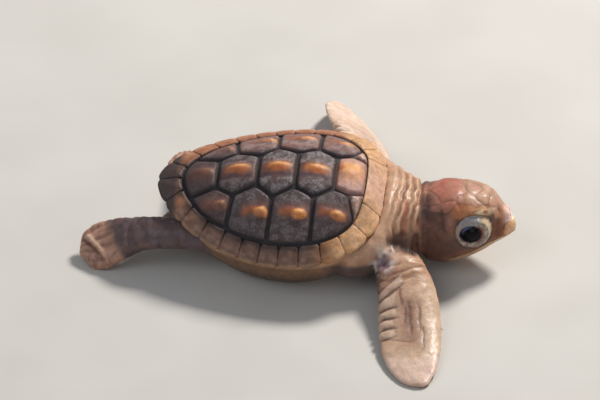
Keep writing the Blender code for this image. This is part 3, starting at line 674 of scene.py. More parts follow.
def paint_keel(paint, du, dv, patch, warm, pale):
    """The amber keel of a middle plate, with a painted highlight on its left flank and painted shade on
    its right, and the peach and cream of the paler first one.
    """
    off = dv - PALE_SHIFT * pale
    band = bell(off - 0.05, 1.0 + 0.5 * bell(du - 0.3, 1.5)) * between(du, -3.1, -1.2, 1.3, 3.0)
    paint.coats(warm, (0.75 * bell(off + 0.3, 2.0) * ramp(-4.2, -2.5, du), 112, 72, 58),
                (1.25 * band * (0.85 + 0.3 * patch), 172, 100, 52),
                # painted highlight along the keel's left, sunward flank
                (1.1 * bell(off - 0.65 - 0.2 * patch, 0.45) * band * ramp(-2.4, 0.3, du), 222, 168, 104),
                (0.85 * hump(du - 0.5, off + 0.3, 1.3, 0.8), 178, 94, 40),
                # painted shade along the keel's right flank, turned away from the light
                (0.75 * bell(off + 1.6, 0.55) * ramp(3.9, 2.4, np.abs(du)), 52, 40, 56))
    paint.coats(1 - warm, (0.35 * hump(du, off, 2.1, 1.7), 104, 62, 56))
    peach = np.exp(-(((du - 0.5) / 2.7) ** 2 + ((dv - 0.6) / 2.5) ** 2) ** 1.5) + 0.1 * patch
    paint.coats(pale, (0.92, 178, 134, 122),
                (0.95 * peach, 212, 150, 104),
                (0.9 * hump(dv - 1.9, du - 0.3, 0.9, 1.9), 224, 160, 84),
                (0.8 * hump(du + 1.7, dv - 1.3, 0.9, 0.9), 170, 84, 40),
                (0.5 * ramp(0.0, 0.7, -patch) * ramp(-1.0, -2.5, dv), 142, 110, 122))
    return np.maximum(ramp(0.9, 1.6, off), 0.9 * ramp(-1.9, -2.5, off)) * warm ** 2


def paint_drop(paint, du, dv, patch, fine, left, right, warm, pale):
    """The amber drop of a side plate, lit on the side that faces up."""
    lit = dv - np.where(left > 0.5, -0.2, 0.2)
    halo = bell(dv - 0.75, 1.25) * between(du, -4.0, -2.6, 2.2, 3.4)
    streak = bell(dv - 0.3 + 0.15 * patch, 0.62) * between(du, -3.6, -2.4, 0.2, 1.4)
    drop = ramp(1.1, 0.62, np.hypot((du - 0.7) / 1.75, (dv + 0.15) / 1.1) + 0.08 * fine)
    paint.coats(1, (0.85 * halo * (0.4 + 0.6 * warm), 118, 78, 68))
    paint.coats(warm, (1.1 * streak, 158, 86, 44),
                (drop * (0.9 + 0.2 * patch), 200, 120, 56),
                # painted highlight on the drop's side that faces up
                (0.85 * drop * hump(du - 0.8, lit, 1.3, 0.5), 238, 172, 104),
                (0.5 * hump(du - 0.6, dv + 1.4, 1.8, 0.45), 66, 44, 46))
    paint.coats(1 - warm, (0.35 * hump(du, dv, 2.1, 1.7), 104, 62, 56))
    paint.coats(pale, (0.9, 178, 140, 124),
                (0.7 * ramp(0.1, 0.5, fine), 206, 190, 180))
    frost = 0.30 + right * (0.45 * ramp(1.0, 2.2, dv) + 0.25 * ramp(-1.0, -2.2, dv))
    frost += 0.75 * left * ramp(0.2, -1.4, dv)
    return frost * (1 - 0.9 * halo * right) * (0.4 + 0.6 * warm)


def make_scutes():
    scute("nuchal", nuchal_outline(), (20.4, 0.0), rim=True, relief=0.0)
    for i in range(5):
        pale = float(i == 0)
        scute(f"vertebral_{i + 1}", vertebral_outline(i), (VERTEBRAL_KNOBS[i], 0.0), keeled=True,
              relief=0.6, warm=VERTEBRAL_WARMTH[i], pale=pale)
        knob_u, knob_v = COSTAL_KNOBS[i]
        left = costal_outline(i)
        for side, outline, v in (("left", left, knob_v), ("right", mirrored(left), -knob_v)):
            scute(f"costal_{side}_{i + 1}", outline, (knob_u, v), relief=0.8 - 0.68 * pale,
                  warm=COSTAL_WARMTH[i], pale=pale)
    bounds = marginal_bounds()
    for i, (start, end) in enumerate(zip(bounds, bounds[1:])):
        left = marginal_outline(start, end)
        u, v = np.mean((rim_point((start + end) / 2), seam_point((start + end) / 2)), axis=0)
        for side, outline, knob in (("left", left, (u, v)), ("right", mirrored(left), (u, -v))):
            scute(f"marginal_{side}_{i + 1}", outline, knob, rim=True, relief=0.2)


def dome_grid(reaches, height, count=240):
    """Rings that copy the rim at several reaches from the top of the dome."""
    angles = np.linspace(-math.pi, math.pi, count, endpoint=False)
    rings = []
    for reach in reaches:
        radius = rim_radius(angles) * reach
        u, v = DOME_CENTRE + radius * np.cos(angles), radius * np.sin(angles)
        rings.append(np.c_[u, v, height(u, v)])
    return rings


def below_dome(depth):
    return lambda u, v: dome_height(u, v) - depth


def level_rings(profile, count):
    """Rings at the reaches and levels of a profile, rising towards the shell's ends as its rim does."""
    rings = []
    for reach, level in profile:
        rings += dome_grid((reach,), lambda u, v: level + rim_lift(u) * 0.8, count)
    return rings


def on_axis(w):
    """A point on the line through the top of the dome."""
    return DOME_CENTRE, 0.0, w


def make_seam_bed():
    """The dark skin that shows between the plates."""
    reaches = np.linspace(0.02, 0.965, 60)
    under = SCUTE_DEPTH - 0.02
    rings = [ring for reach in reaches
             for ring in dome_grid((reach,), below_dome(SEAM_DEPTH + 0.1 * (reach > 0.95)))]
    rings += dome_grid((0.965, 0.6, 0.3), below_dome(under))
    points, faces = lofted(rings, on_axis(DOME_HEIGHT - SEAM_DEPTH), on_axis(DOME_HEIGHT - under))
    paint = Paint.plain(len(points), 28, 24, 30)
    paint.coats(1, (0.75 * ramp(0.85, 0.95, reach_of(*points[:, :2].T)), 52, 36, 34),
                (0.8 * ramp(14.5, 18.5, points[:, 0]), 120, 78, 56))
    finish_piece(make_mesh("seam_bed", points, faces, SHELL), paint, "plate", look="scute")


# ---------------------------------------------------------------- the skin's underlying form

SKIN_VOXEL = 0.27
UNDER_PLATES = 1.45           # the skin stays this far below the shell's outer surface
BATCH = 20000                 # points placed along a limb at a time, to spare memory
TRUNK_SIDE = ((0.955, -1.6), (0.95, -2.4), (0.925, -4.4), (0.87, -6.6), (0.81, -8.3), (0.76, -9.3),
              (0.70, -9.9))   # reach and height


def spline(values, samples):
    """Catmull-Rom through rows of numbers, in even steps from the first row to the last."""
    rows = np.array(values, float)
    rows = np.vstack((2 * rows[0] - rows[1], rows, 2 * rows[-1] - rows[-2]))
    at = np.linspace(0, len(values) - 1, samples)
    i = np.minimum(at.astype(int), len(values) - 2)
    t = (at - i)[:, None]
    a, b, c, d = rows[i], rows[i + 1], rows[i + 2], rows[i + 3]
    return 0.5 * (2 * b + (c - a) * t + (2 * a - 5 * b + 4 * c - d) * t ** 2
                  + (3 * b - a - 3 * c + d) * t ** 3)


def rounded(count, left, right, top, bottom, squareness):
    angle = np.linspace(0.0, 2 * math.pi, count, endpoint=False)
    c, s = np.cos(angle), np.sin(angle)
    across = np.sign(c) * np.abs(c) ** (2 / squareness) * np.where(c > 0, left, right)
    up = np.sign(s) * np.abs(s) ** (2 / squareness) * np.where(s > 0, top, -bottom)
    return np.stack((across, up), axis=1)


def head_form(count=96):
    rings = [np.c_[np.full(count, x), rounded(count, half, half, top, bottom, square)]
             for x, half, top, bottom, square in spline(HEAD_STATIONS, 90)]
    return lofted(rings, (0.0, 0.0, 0.0), (17.75, 0.0, -0.6))


def neck_form(count=120):
    rings = []
    for x, half, top, bottom, roll in spline(NECK_STATIONS, 70):
        middle, tall = (top + bottom) / 2, (top - bottom) / 2
        y, z = rounded(count, half, half, tall, -tall, NECK_SQUARENESS).T
        c, s = math.cos(math.radians(roll)), math.sin(math.radians(roll))
        rings.append(np.c_[np.full(count, x), y * c - z * s, middle + y * s + z * c])
    return lofted(rings, *((rings[i][:, 0].mean(), 0.0, rings[i][:, 2].mean()) for i in (0, -1)))


def trunk_form(count=160):
    depth = UNDER_PLATES + 0.1
    rings = dome_grid((0.35, 0.62, 0.8, 0.9, 0.945), below_dome(depth), count)
    rings += level_rings(TRUNK_SIDE, count)
    return lofted(rings, on_axis(DOME_HEIGHT - depth), on_axis(TRUNK_SIDE[-1][1]))


class Limb:
    """A limb's flattened sections along its middle line, and places counted along and across it."""

    def __init__(self, points, forward, samples=120):
        table = spline([(*middle, *sizes) for middle, *sizes in points], samples)
        self.middle = table[:, :3]
        self.ahead, self.behind, self.thick, twists = table[:, 3:].T
        axes = np.gradient(self.middle, axis=0)
        axes /= np.linalg.norm(axes, axis=1, keepdims=True)
        side = np.array(forward, float)
        self.wide, self.high = np.zeros((samples, 3)), np.zeros((samples, 3))
        for i, (axis, twist) in enumerate(zip(axes, np.radians(twists))):
            side = side - axis * axis.dot(side)
            side /= np.linalg.norm(side)
            up = np.cross(side, axis)
            up *= 1 if up[2] > 0 else -1
            self.wide[i] = side * math.cos(twist) - up * math.sin(twist)
            self.high[i] = up * math.cos(twist) + side * math.sin(twist)
        self.tip = self.middle[-1] + axes[-1] * self.ahead[-1] * 0.6
        self.along = lengths_along(self.middle)
        self.length = self.along[-1]

    def form(self, count=64):
        rings = []
        for middle, wide, high, *sizes, thick in zip(self.middle, self.wide, self.high, self.ahead,
                                                     self.behind, self.thick):
            section = rounded(count, *sizes, thick, -thick, 2.2)
            rings.append(middle + section[:, :1] * wide + section[:, 1:] * high)
        return lofted(rings, self.middle[0], self.tip)

    def places(self, points):
        """Distance along, share across (1 leading edge, -1 trailing), share of thickness, distance out."""
        along, across, height = np.empty((3, len(points)))
        for low in range(0, len(points), BATCH):
            part = points[low:low + BATCH]
            i = np.linalg.norm(part[:, None] - self.middle[None], axis=2).argmin(axis=1)
            rel = part - self.middle[i]
            axis = np.cross(self.wide[i], self.high[i])
            axis *= np.sign(np.sum(axis * (self.middle[-1] - self.middle[0]), axis=1))[:, None]
            span = slice(low, low + len(part))
            along[span] = self.along[i] + np.sum(rel * axis, axis=1)
            w = np.sum(rel * self.wide[i], axis=1)
            across[span] = w / np.where(w > 0, self.ahead[i], self.behind[i])
            height[span] = np.sum(rel * self.high[i], axis=1) / self.thick[i]
        return along, across, height, np.hypot(across, height)


LIMBS = {
    "front_right": Limb(FRONT_RIGHT, (1, 0, 0)),
    "front_left": Limb(FRONT_LEFT, (1, 0, 0)),
    "rear_right": Limb(REAR_RIGHT, (0, -1, 0)),
    "rear_left": Limb(REAR_LEFT, (1, 0, 0)),
    "tail": Limb(TAIL, (0, 1, 0)),
}


def neighbours(mesh):
    edges = np.empty(len(mesh.edges) * 2, np.int32)
    mesh.edges.foreach_get("vertices", edges)
    count = np.bincount(edges, minlength=len(mesh.vertices)).astype(float)
    return edges.reshape(-1, 2), np.maximum(count, 1)[:, None]


def average(values, edges, count):
    """Each vertex's mean of its neighbours."""
    values = values.reshape(len(count), -1)
    total = np.empty_like(values)
    for k in range(values.shape[1]):
        total[:, k] = (np.bincount(edges[:, 0], values[edges[:, 1], k], len(count))
                       + np.bincount(edges[:, 1], values[edges[:, 0], k], len(count)))
    return total / count


def relax(mesh, rounds, swell=-0.52, mask=None):
    """Smooth a mesh without shrinking it; with swell 0 it rounds what the mask covers."""
    points = coordinates(mesh)
    edges, count = neighbours(mesh)
    weight = 1.0 if mask is None else mask[:, None]
    for _ in range(rounds):
        for factor in (0.5, swell):
            if factor:
                points += (average(points, edges, count) - points) * factor * weight
    move(mesh, points)


def spread(mask, edges, count, rounds):
    """A mask grown by some rounds of neighbours, fading outward."""
    for _ in range(rounds):
        mask = np.maximum(mask, average(mask, edges, count)[:, 0] * 1.06)
    return np.clip(mask, 0, 1)


def remeshed(name, points, faces, voxel):
    """One closed mesh, in millimetres, round all the closed forms given."""
    mesh = bpy.data.meshes.new(name)
    mesh.from_pydata(points.tolist(), [], faces)
    made = linked(name, mesh)
    modifier = made.modifiers.new("voxels", "REMESH")
    modifier.mode = "VOXEL"
    modifier.voxel_size = voxel
    bpy.context.view_layer.update()
    graph = bpy.context.evaluated_depsgraph_get()
    whole = bpy.data.meshes.new_from_object(made.evaluated_get(graph))
    bpy.data.objects.remove(made)
    whole.name = name
    return whole


def finer(mesh, chosen):
    """Halve the edges among the chosen vertices."""
    def halve(body):
        edges = [e for e in body.edges if chosen[e.verts[0].index] and chosen[e.verts[1].index]]
        bmesh.ops.subdivide_edges(body, edges=edges, cuts=1, use_grid_fill=True)
    reworked(mesh, halve)


def base_skin():
    """The flesh as one smooth closed mesh, in millimetres in the turtle's frame."""
    forms = [(HEAD, head_form()), (TURTLE, neck_form()), (SHELL, trunk_form())]
    forms += [(TURTLE, limb.form()) for limb in LIMBS.values()]
    points, faces, count = [], [], 0
    for space, (own_points, own_faces) in forms:
        points.append(TURTLE.into(space.out(own_points)))
        faces += [tuple(i + count for i in face) for face in own_faces]
        count += len(own_points)
    mesh = remeshed("skin", np.vstack(points), faces, SKIN_VOXEL)
    relax(mesh, 6)
    points = coordinates(mesh)
    local = SHELL.into(TURTLE.out(points))
    u, v, w = local.T
    roof = dome_height(u, v) - UNDER_PLATES
    low = (reach_of(u, v) < 0.985) & (w > roof) & (w > -2.5)
    local[low, 2] = roof[low]
    points[low] = TURTLE.into(SHELL.out(local[low]))
    points[:, 2] = np.maximum(points[:, 2], 0.0)
    move(mesh, points)
    edges, count = neighbours(mesh)
    hollow = np.sum((average(points, edges, count) - points) * normals(mesh), axis=1)
    crease = spread(ramp(0.02, 0.08, hollow), edges, count, 4)
    relax(mesh, 14, swell=0, mask=crease * (1 - low))
    return mesh


# ---------------------------------------------------------------- head features

HEAD_SCALES = (               # x, distance from the middle plane, z, size
    (4.2, 0.0, 7.2, 2.6),     # frontoparietal
    (0.8, 2.6, 6.4, 0.8),     # parietals
    (9.9, 0.0, 7.7, 0.8),     # frontal
    (11.6, 2.0, 6.9, 1.0),    # prefrontals
    (13.6, 1.6, 5.7, 0.9),
    (16.2, 0.9, 2.6, 0.6),    # above the nostrils
    (9.6, 4.6, 5.6, 1.4),     # supraoculars
    (13.2, 3.6, 3.2, 0.9),    # before the eye
    (14.0, 3.2, 0.4, 0.7),
    (4.9, 5.9, 4.0, 1.0),     # behind the eye
    (3.8, 6.4, 0.6, 1.2),
    (5.0, 6.2, -3.0, 1.0),
    (1.2, 5.7, 3.6, 0.9),     # temples
    (1.2, 6.0, -1.6, 1.2),
    (1.6, 5.8, -5.2, 1.0),
)
HEAD_BUMPS = (                # place as above, width, height
    ((15.8, 1.0, 3.0), 1.0, 0.42),        # the snout's bulge
    ((14.6, 2.4, 3.7), 0.75, -0.42),      # the crease behind it
)
NOSTRIL, NOSTRIL_SIZE = (16.55, 0.75, 2.25), 0.26
LID_CENTRE = (9.7, 0.75)      # x, z of the ring of the lids
LID_OUTER = 3.5               # radius of the lids' outer edge
LID_PLANE = 6.0               # their crest is drawn towards this distance from the middle plane
LID_WIDTH = 0.24              # from the eyeball to the lids' crest, in units of the opening
LID_GAP = 0.03                # between the eyeball and the lids' edge
OPENING_CENTRE = (9.15, 0.55)
OPENING = (2.07, 1.85)        # half-width, half-height of the eye's opening
SNOUT_DROP = 0.65             # the snout lies this much lower than the solid's
BROW_BULGE = 0.12             # and the forehead this much further forward
FOREHEAD_DROP = 0.75          # while its top is this much lower


def cell_gap(points, seeds):
    """How much nearer a point is to its nearest seed's cell than to the second nearest."""
    distance = np.linalg.norm(points[:, None] - seeds[None, :, :3], axis=2) - seeds[None, :, 3]
    nearest = np.partition(distance, 1, axis=1)
    return nearest[:, 1] - nearest[:, 0]


def above_lip(x, z):
    """Height over the line of the mouth."""
    return z - np.interp(x, *zip(*MOUTH)) - 0.4 * between(x, 5.0, 8.0, 12.5, 14.5)


def eye_measures(p):
    """Distance from the lids' centre, and in units of the opening, with the angle round the eye."""
    dx, dz = p[:, 0] - LID_CENTRE[0], p[:, 2] - LID_CENTRE[1]
    angle = np.arctan2(dz, dx)
    wobble = noise(np.c_[np.cos(angle) * 3, np.sin(angle) * 3, np.sign(p[:, 1])], 0.55, 21)
    ox, oz = p[:, 0] - OPENING_CENTRE[0], p[:, 2] - OPENING_CENTRE[1]
    opening = np.hypot(ox / OPENING[0], oz / OPENING[1]) + 0.025 * wobble
    return np.hypot(dx, dz), opening, angle, wobble


def snout_warp(p):
    """The steep forehead and the low snout before it, given by moving points in the head's frame."""
    x, _, z = p.T
    moved = p.copy()
    moved[:, 2] -= FOREHEAD_DROP * bell(x - 10.8, 2.6) * ramp(4.0, 7.0, z)
    moved[:, 2] -= SNOUT_DROP * ramp(14.3, 15.6, x) * ramp(-0.6, 1.9, z)
    moved[:, 0] += BROW_BULGE * bell(x - 13.9, 1.5) * between(z, 2.6, 4.4, 6.0, 7.2)
    return moved


def shape_head(p, n):
    """Move the head's skin: the plates of the crown and cheeks, lips, nostrils, snout and lids."""
    x, y, z = p.T
    side = np.abs(y)
    folded = np.c_[x, side, z]
    inside = ramp(-0.8, 0.4, x)
    bent = folded + 0.35 * np.stack([noise(p, 1.6, seed) for seed in (22, 23, 24)], axis=1)
    gap = cell_gap(bent, np.array(HEAD_SCALES))
    over_lip = above_lip(x, z)
    crown = ramp(4.0, 6.0, z)
    strength = inside * ramp(-0.2, 0.9, over_lip) * (0.35 + 0.65 * crown) * ramp(16.8, 15.6, x)
    groove = bell(gap, 0.5) * strength
    lips = bell(over_lip, 0.2) * between(x, 4.6, 6.4, 14.6, 15.4)
    nostril = bell(gap_to(folded, NOSTRIL), NOSTRIL_SIZE)
    rise = 0.14 * (1 - np.exp(-gap / 1.6)) * strength - 0.06 * groove - 0.34 * lips - 0.42 * nostril
    rise += 0.05 * noise(p, 1.3, 25) * inside
    rise += crown * (0.20 * bell(x - 4.2, 2.4) - 0.16 * bell(x - 7.4, 0.6) + 0.20 * bell(x - 11.2, 2.6))
    rise += 0.16 * bell(over_lip - 0.6, 0.45) * ramp(5.5, 8.0, x)
    for centre, width, height in HEAD_BUMPS:
        rise += height * bell(gap_to(folded, centre), width)
    brow = hump(x - 9.8, z - 5.0, 3.2, 1.0) * ramp(3.0, 5.0, side)
    before_eye = hump(x - 13.9, z - 0.6, 0.9, 2.0) * ramp(2.0, 3.5, side)
    rise += 0.34 * brow - 0.3 * before_eye - 0.20 * beak_cover(x, z)
    marks = {"groove": np.clip(groove + 0.9 * lips + nostril, 0, 1), "lips": lips, "nostril": nostril}
    return shape_lids(snout_warp(p + n * rise[:, None])), marks


def beak_cover(x, z):
    """1 where the horny beak lies over the skin."""
    upper = ramp(UPPER_BEAK_BACK + 0.3, UPPER_BEAK_BACK + 0.8, x) * ramp(1.7, 1.3, z)
    lower = ramp(LOWER_BEAK_BACK + 0.3, LOWER_BEAK_BACK + 0.8, x)
    return np.where(above_lip(x, z) > 0, upper, lower)


def shape_lids(p):
    """A swollen ring of lids that hugs the eyeball."""
    ring, opening, angle, wobble = eye_measures(p)
    x, y, z = p.T
    side = np.abs(y)
    near = (ring < LID_OUTER + 1.2) & (side > 1.5)
    off_axis = (x - EYE_CENTRE[0]) ** 2 + (z - EYE_CENTRE[2]) ** 2
    eye = np.sqrt(np.maximum(EYE_RADIUS ** 2 - off_axis, 0.0)) + EYE_CENTRE[1] + LID_GAP
    beads = np.abs(np.sin(angle * 8 + 1.6 * wobble)) * ramp(-0.9, 0.3, wobble)
    crest = 0.45 * side + 0.55 * LID_PLANE + 0.46 + 0.10 * wobble
    crest += (0.05 + 0.20 * bell(ring - LID_OUTER + 0.55, 0.5)) * beads
    crest += 0.12 * ramp(0.2, 1.0, np.sin(angle))                 # the heavier upper lid
    crest += 0.10 * noise(p, 0.42, 26) + 0.06 * noise(p, 0.22, 27)
    ring = ring + 0.16 * noise(p, 0.7, 28) + 0.10 * wobble
    slope = ramp(LID_OUTER + 0.12, LID_OUTER - 0.8, ring)         # on the lids' outer side
    swollen = side + (np.maximum(crest, side + 0.2) - side) * slope
    swollen -= 0.16 * bell(ring - LID_OUTER - 0.12, 0.22)
    climb = np.clip((opening - 1) / LID_WIDTH, 0, 1)
    target = eye + (swollen - eye) * np.sqrt(1 - (1 - climb) ** 2)
    target = np.where(opening < 1, eye - 0.5 * ramp(1.0, 0.93, opening), target)
    moved = p.copy()
    moved[near, 1] = (np.sign(y) * target)[near]
    return moved


def paint_head(paint, p, marks, m):
    """Colours of the head, with painted shade at the temples, in the nostrils and along the mouth line; m
    is 1 on the head and fades into the neck.
    """
    x, y, z = p.T
    side = np.abs(y)
    cloud, patch, fine = noise(p, 2.4, 31), noise(p, 0.9, 32), noise(p, 0.45, 36)
    over_lip = above_lip(x, z)
    edge = 4.4 + 1.7 * ramp(4.2, 6.6, x) - 3.6 * ramp(12.0, 14.0, x) + 0.25 * patch
    crown = ramp(edge, edge + 0.5, z)
    front = crown * ramp(7.0, 8.4, x + 0.4 * patch)
    red = bell(x - 4.2, 2.6) * ramp(4.4, 5.6, z)
    brow = between(x, 4.6, 6.4, 12.2, 14.0) * ramp(3.2, 4.2, z) * ramp(2.6, 3.8, side)
    brow *= ramp(edge + 0.5, edge, z)
    behind_eye = hump(x - 5.2, z - 3.2, 0.9, 1.6) * (side > 3.0)
    cheek = bell(x - 3.8 + 0.12 * (z - 3.0) + 0.2 * patch, 0.3) * between(z, 0.4, 1.6, 4.8, 5.6)
    line = bell(z - edge - 0.1, 0.24) * between(x, 1.0, 3.0, 11.5, 13.0) * (side > 2.5)
    temple = ramp(2.8, 0.6, x + 0.6 * patch) * ramp(0.5, 3.4, z) * ramp(0.4, 2.6, side)
    pink = ramp(14.6, 16.2, x + 0.3 * patch) * ramp(0.4, 2.0, z)
    crease = bell(gap_to(np.c_[x, side, z], (14.7, 2.4, 3.0)), 1.15)
    rust = bell(x - 14.4, 1.5) * ramp(3.2, 0.8, z + 0.4 * patch)
    rust *= ramp(0.9, 2.4, side) * ramp(-0.2, 0.6, over_lip)
    before_eye = bell(x - 14.3, 0.7) * between(z, -2.2, -0.8, 1.4, 2.8) * ramp(0.8, 1.8, side)
    jaw = ramp(0.1, -0.5, over_lip) * ramp(4.0, 7.0, x)
    upper_lip = bell(over_lip - 0.75, 0.5) * between(x, 5.0, 8.0, 12, 14)
    paint.coats(m, (1, 98, 66, 55),
                (0.5 * ramp(-0.1, 0.7, cloud), 118, 80, 64),
                (0.4 * ramp(0.1, 0.7, -patch), 84, 55, 48),
                (0.35 * ramp(0.2, 0.8, fine), 120, 84, 70),
                (crown, 168, 116, 94),
                (0.85 * red, 168, 104, 84),
                (0.6 * red * ramp(-0.1, 0.7, patch + 0.5 * cloud), 172, 78, 68),
                (front, 178, 136, 110),
                (0.55 * front * ramp(0.0, 0.7, cloud), 192, 152, 128),
                (0.5 * front * ramp(0.1, 0.7, -cloud), 192, 134, 116),
                (0.4 * front * ramp(0.2, 0.8, fine), 206, 174, 156),
                (0.95 * brow, 176, 110, 66),
                (0.5 * brow * ramp(0.0, 0.7, patch), 190, 130, 86),
                (0.8 * behind_eye, 158, 108, 92),
                (0.85 * cheek * (side > 3.0), 60, 36, 40),
                ((0.35 + 0.3 * cloud) * line, 84, 46, 40),
                # painted shade at the back of the head, by its crease into the neck
                (0.85 * temple, 70, 44, 42),
                (0.97 * pink, 238, 204, 192),
                (0.6 * pink * ramp(0.0, 0.6, fine), 214, 160, 152),
                (0.4 * pink * ramp(0.1, 0.6, -patch), 236, 208, 192),
                (0.85 * crease, 150, 92, 54),
                (rust, 150, 84, 48),
                (0.75 * before_eye, 92, 46, 28),
                (jaw, 186, 148, 112),
                (0.5 * ramp(-5.8, -7.4, z) * ramp(8, 2, x), 150, 112, 92),
                (0.55 * upper_lip, 146, 88, 58))
    paint_lids(paint, p, m)
    # dark scale grooves; the dark nostrils and mouth line are painted shade in those openings
    paint.coats(m, (0.24 * marks["groove"], 78, 46, 38),
                (0.85 * marks["nostril"], 48, 28, 26),
                (0.8 * marks["lips"], 66, 40, 28))


def paint_lids(paint, p, m):
    """The pale ragged ring, rusty in front of the eyeball, with painted light and shade on it, and the
    cream patch above it, partly a painted highlight.
    """
    ring, opening, angle, wobble = eye_measures(p)
    ahead, up = np.cos(angle), np.sin(angle)
    rough, fine = noise(p, 0.5, 33), noise(p, 0.28, 34)
    m = m * (np.abs(p[:, 1]) > 2)
    from_cream = p[:, 0] - 11.3
    cream = hump(from_cream, p[:, 2] - 4.75 + 0.2 * from_cream, 1.5, 0.65)
    lids = m * ramp(LID_OUTER + 0.2, LID_OUTER - 0.3, ring + 0.15 * rough)
    rusty = ramp(1.42, 1.12, opening + 0.06 * wobble) * ramp(0.0, 0.7, ahead)
    lit = ramp(0.0, 0.8, ahead) * ramp(-0.6, 0.0, up) * ramp(2.7, 3.1, ring)
    # the cream patch above the ring, partly a painted highlight
    paint.coats(m, (1.25 * cream * ramp(-0.7, 0.1, rough), 232, 216, 180),
                (0.6 * cream * ramp(0.2, 0.7, -fine), 160, 118, 76),
                # painted shade in the groove round the lids' outer edge
                (0.6 * bell(ring - LID_OUTER - 0.1, 0.3), 66, 42, 36))
    paint.coats(lids, (0.95, 156, 142, 132),
                (0.7 * ramp(0.0, 0.5, rough + 0.3 * fine), 200, 190, 176),
                (0.6 * ramp(0.1, 0.6, fine), 104, 88, 80),
                # painted shade: blue-grey on the upper rear of the lids
                (0.75 * ramp(0.2, 0.9, up) * ramp(0.7, 0.0, ahead), 138, 148, 156),
                # painted highlight on the lower front of the lids
                (0.8 * lit, 214, 188, 150),
                (0.85 * rusty, 138, 82, 62),
                # painted shade where the lids meet the eyeball
                (0.85 * bell(opening - 1.02, 0.06), 58, 42, 40))


# ---------------------------------------------------------------- neck, limbs and trunk

SHOULDER_FOLD, SHOULDER_HOLLOW = (22.2, -11.8, 8.9), (23.0, -13.9, 7.9)    # pale, and purple under it
ARMPIT = (27.2, -9.9, 9.8)    # the gap between the neck and the near arm, darkened with painted shade
NECK_FOLD_START, NECK_FOLD_PITCH = 28.3, 1.5
HEAD_CREASE = 29.0


def neck_skin(paint, p, n):
    """Bold, uneven folds behind the head with painted shade in their grooves and painted highlights on
    their ridges, painted shade underneath, the shoulder's rucks and the armpit's hollow with painted
    shade.
    """
    x, y, z = p.T
    side = np.abs(y)
    bare = between(x, 19.5, 21.5, 28.8, 29.6) * ramp(12.8, 10.6, side)
    around = np.arctan2(z - 8.5, y)
    circle = np.c_[np.cos(around) * 4, np.sin(around) * 4, x * 0.12]
    sway = 0.9 * noise(circle, 2.2, 41) + 0.42 * noise(circle, 0.9, 45)
    wave = np.cos(2 * math.pi * (x + sway + 0.06 * side - NECK_FOLD_START) / NECK_FOLD_PITCH)
    near_head = ramp(22.4, 26.0, x + 0.8 * noise(p, 3.0, 46))
    strength = bare * (0.10 + 0.90 * near_head) * (0.62 + 0.38 * noise(p, 1.8, 42))
    strength *= 1 - bell(gap_to(p, ARMPIT, (0.7, 1.0, 1.0)), 2.6)
    folds = np.sign(wave) * np.abs(wave) ** np.where(wave > 0, 1.4, 0.8) * strength
    fine, bumps = noise(p * (1, 0.45, 0.3), 0.4, 43), noise(p, 1.6, 47)
    rise = 0.42 * folds + (0.05 * fine + 0.12 * bumps * (1 - near_head)) * bare
    rise -= 0.6 * bell(x - HEAD_CREASE, 0.4) * ramp(12.5, 10.5, side)
    rise += 0.45 * bell(gap_to(p, SHOULDER_FOLD), 1.5) - 1.0 * bell(gap_to(p, SHOULDER_HOLLOW), 1.3)
    rise -= 1.7 * bell(gap_to(p, ARMPIT, (0.75, 1.0, 1.0)), 1.9)
    rise += 0.4 * bell(x - 23.0, 1.3) * ramp(9.0, 5.0, side) * ramp(8.0, 12.0, z)
    cloud, patch = noise(p, 2.2, 44), noise(p, 0.8, 48)
    high = ramp(4.0, 13.0, z)
    shade = ramp(23.0, 25.5, x) * ramp(11.5, 8.5, z + 0.5 * patch) * ramp(2.0, 5.0, side)
    paint.coats(between(x, 17.5, 20.5, 29.0, 29.8) * ramp(14.0, 11.5, side),
                (1, 190, 148, 118),
                (0.55 * high * ramp(-0.2, 0.7, cloud), 210, 172, 138),
                (0.35 * high * ramp(0.0, 0.7, patch), 202, 152, 120),
                # painted shade on the neck's underside
                (0.75 * ramp(7.5, 4.5, z), 116, 84, 74),
                (0.85 * shade, 88, 64, 58),
                # painted shade in the folds' grooves and painted highlights on their ridges
                (0.7 * ramp(0.0, -0.6, folds), 112, 74, 56),
                (0.45 * ramp(0.2, 0.8, folds), 218, 184, 156),
                (0.65 * bell(x - 26.6, 0.5) * ramp(-2.5, -5, y) * ramp(5.0, 8.0, z), 166, 88, 70))
    # painted shade in the armpit's hollow
    hollow = ramp(3.4, 1.0, gap_to(p, ARMPIT, (0.6, 1.0, 1.0)) + 0.6 * patch)
    paint.coats(hollow * ramp(31.0, 29.0, x), (0.9, 78, 54, 47))
    return n * rise[:, None]


def paint_shoulder(paint, p):
    """The pale rucked fold over a purple hollow with painted shade in its middle, where the near arm
    leaves the body, and painted shade below.
    """
    x, y, z = p.T
    patch, fine = noise(p, 0.8, 48), noise(p, 0.35, 49)
    low = ramp(8.0, 6.4, z + 0.3 * patch) * between(x, 10.5, 14.0, 22.2, 23.6) * ramp(-8.0, -10.5, y)
    fold, hollow = gap_to(p, SHOULDER_FOLD), gap_to(p, SHOULDER_HOLLOW)
    # painted shade low down below the shoulder, under the shell's rim
    paint.coats(1, (0.9 * low, 84, 68, 68),
                (0.9 * bell(fold, 1.9) * ramp(-0.6, 0.2, patch), 210, 196, 178),
                (0.85 * bell(hollow - 2.0, 0.7) * ramp(-0.5, 0.3, patch + 0.4 * fine), 204, 192, 186),
                (0.85 * ramp(2.0, 0.8, hollow + 0.5 * patch + 0.3 * fine), 118, 102, 120),
                # painted shade in the middle of the purple hollow
                (0.75 * bell(hollow - 0.3, 0.6) * ramp(-0.4, 0.4, patch), 66, 52, 68))


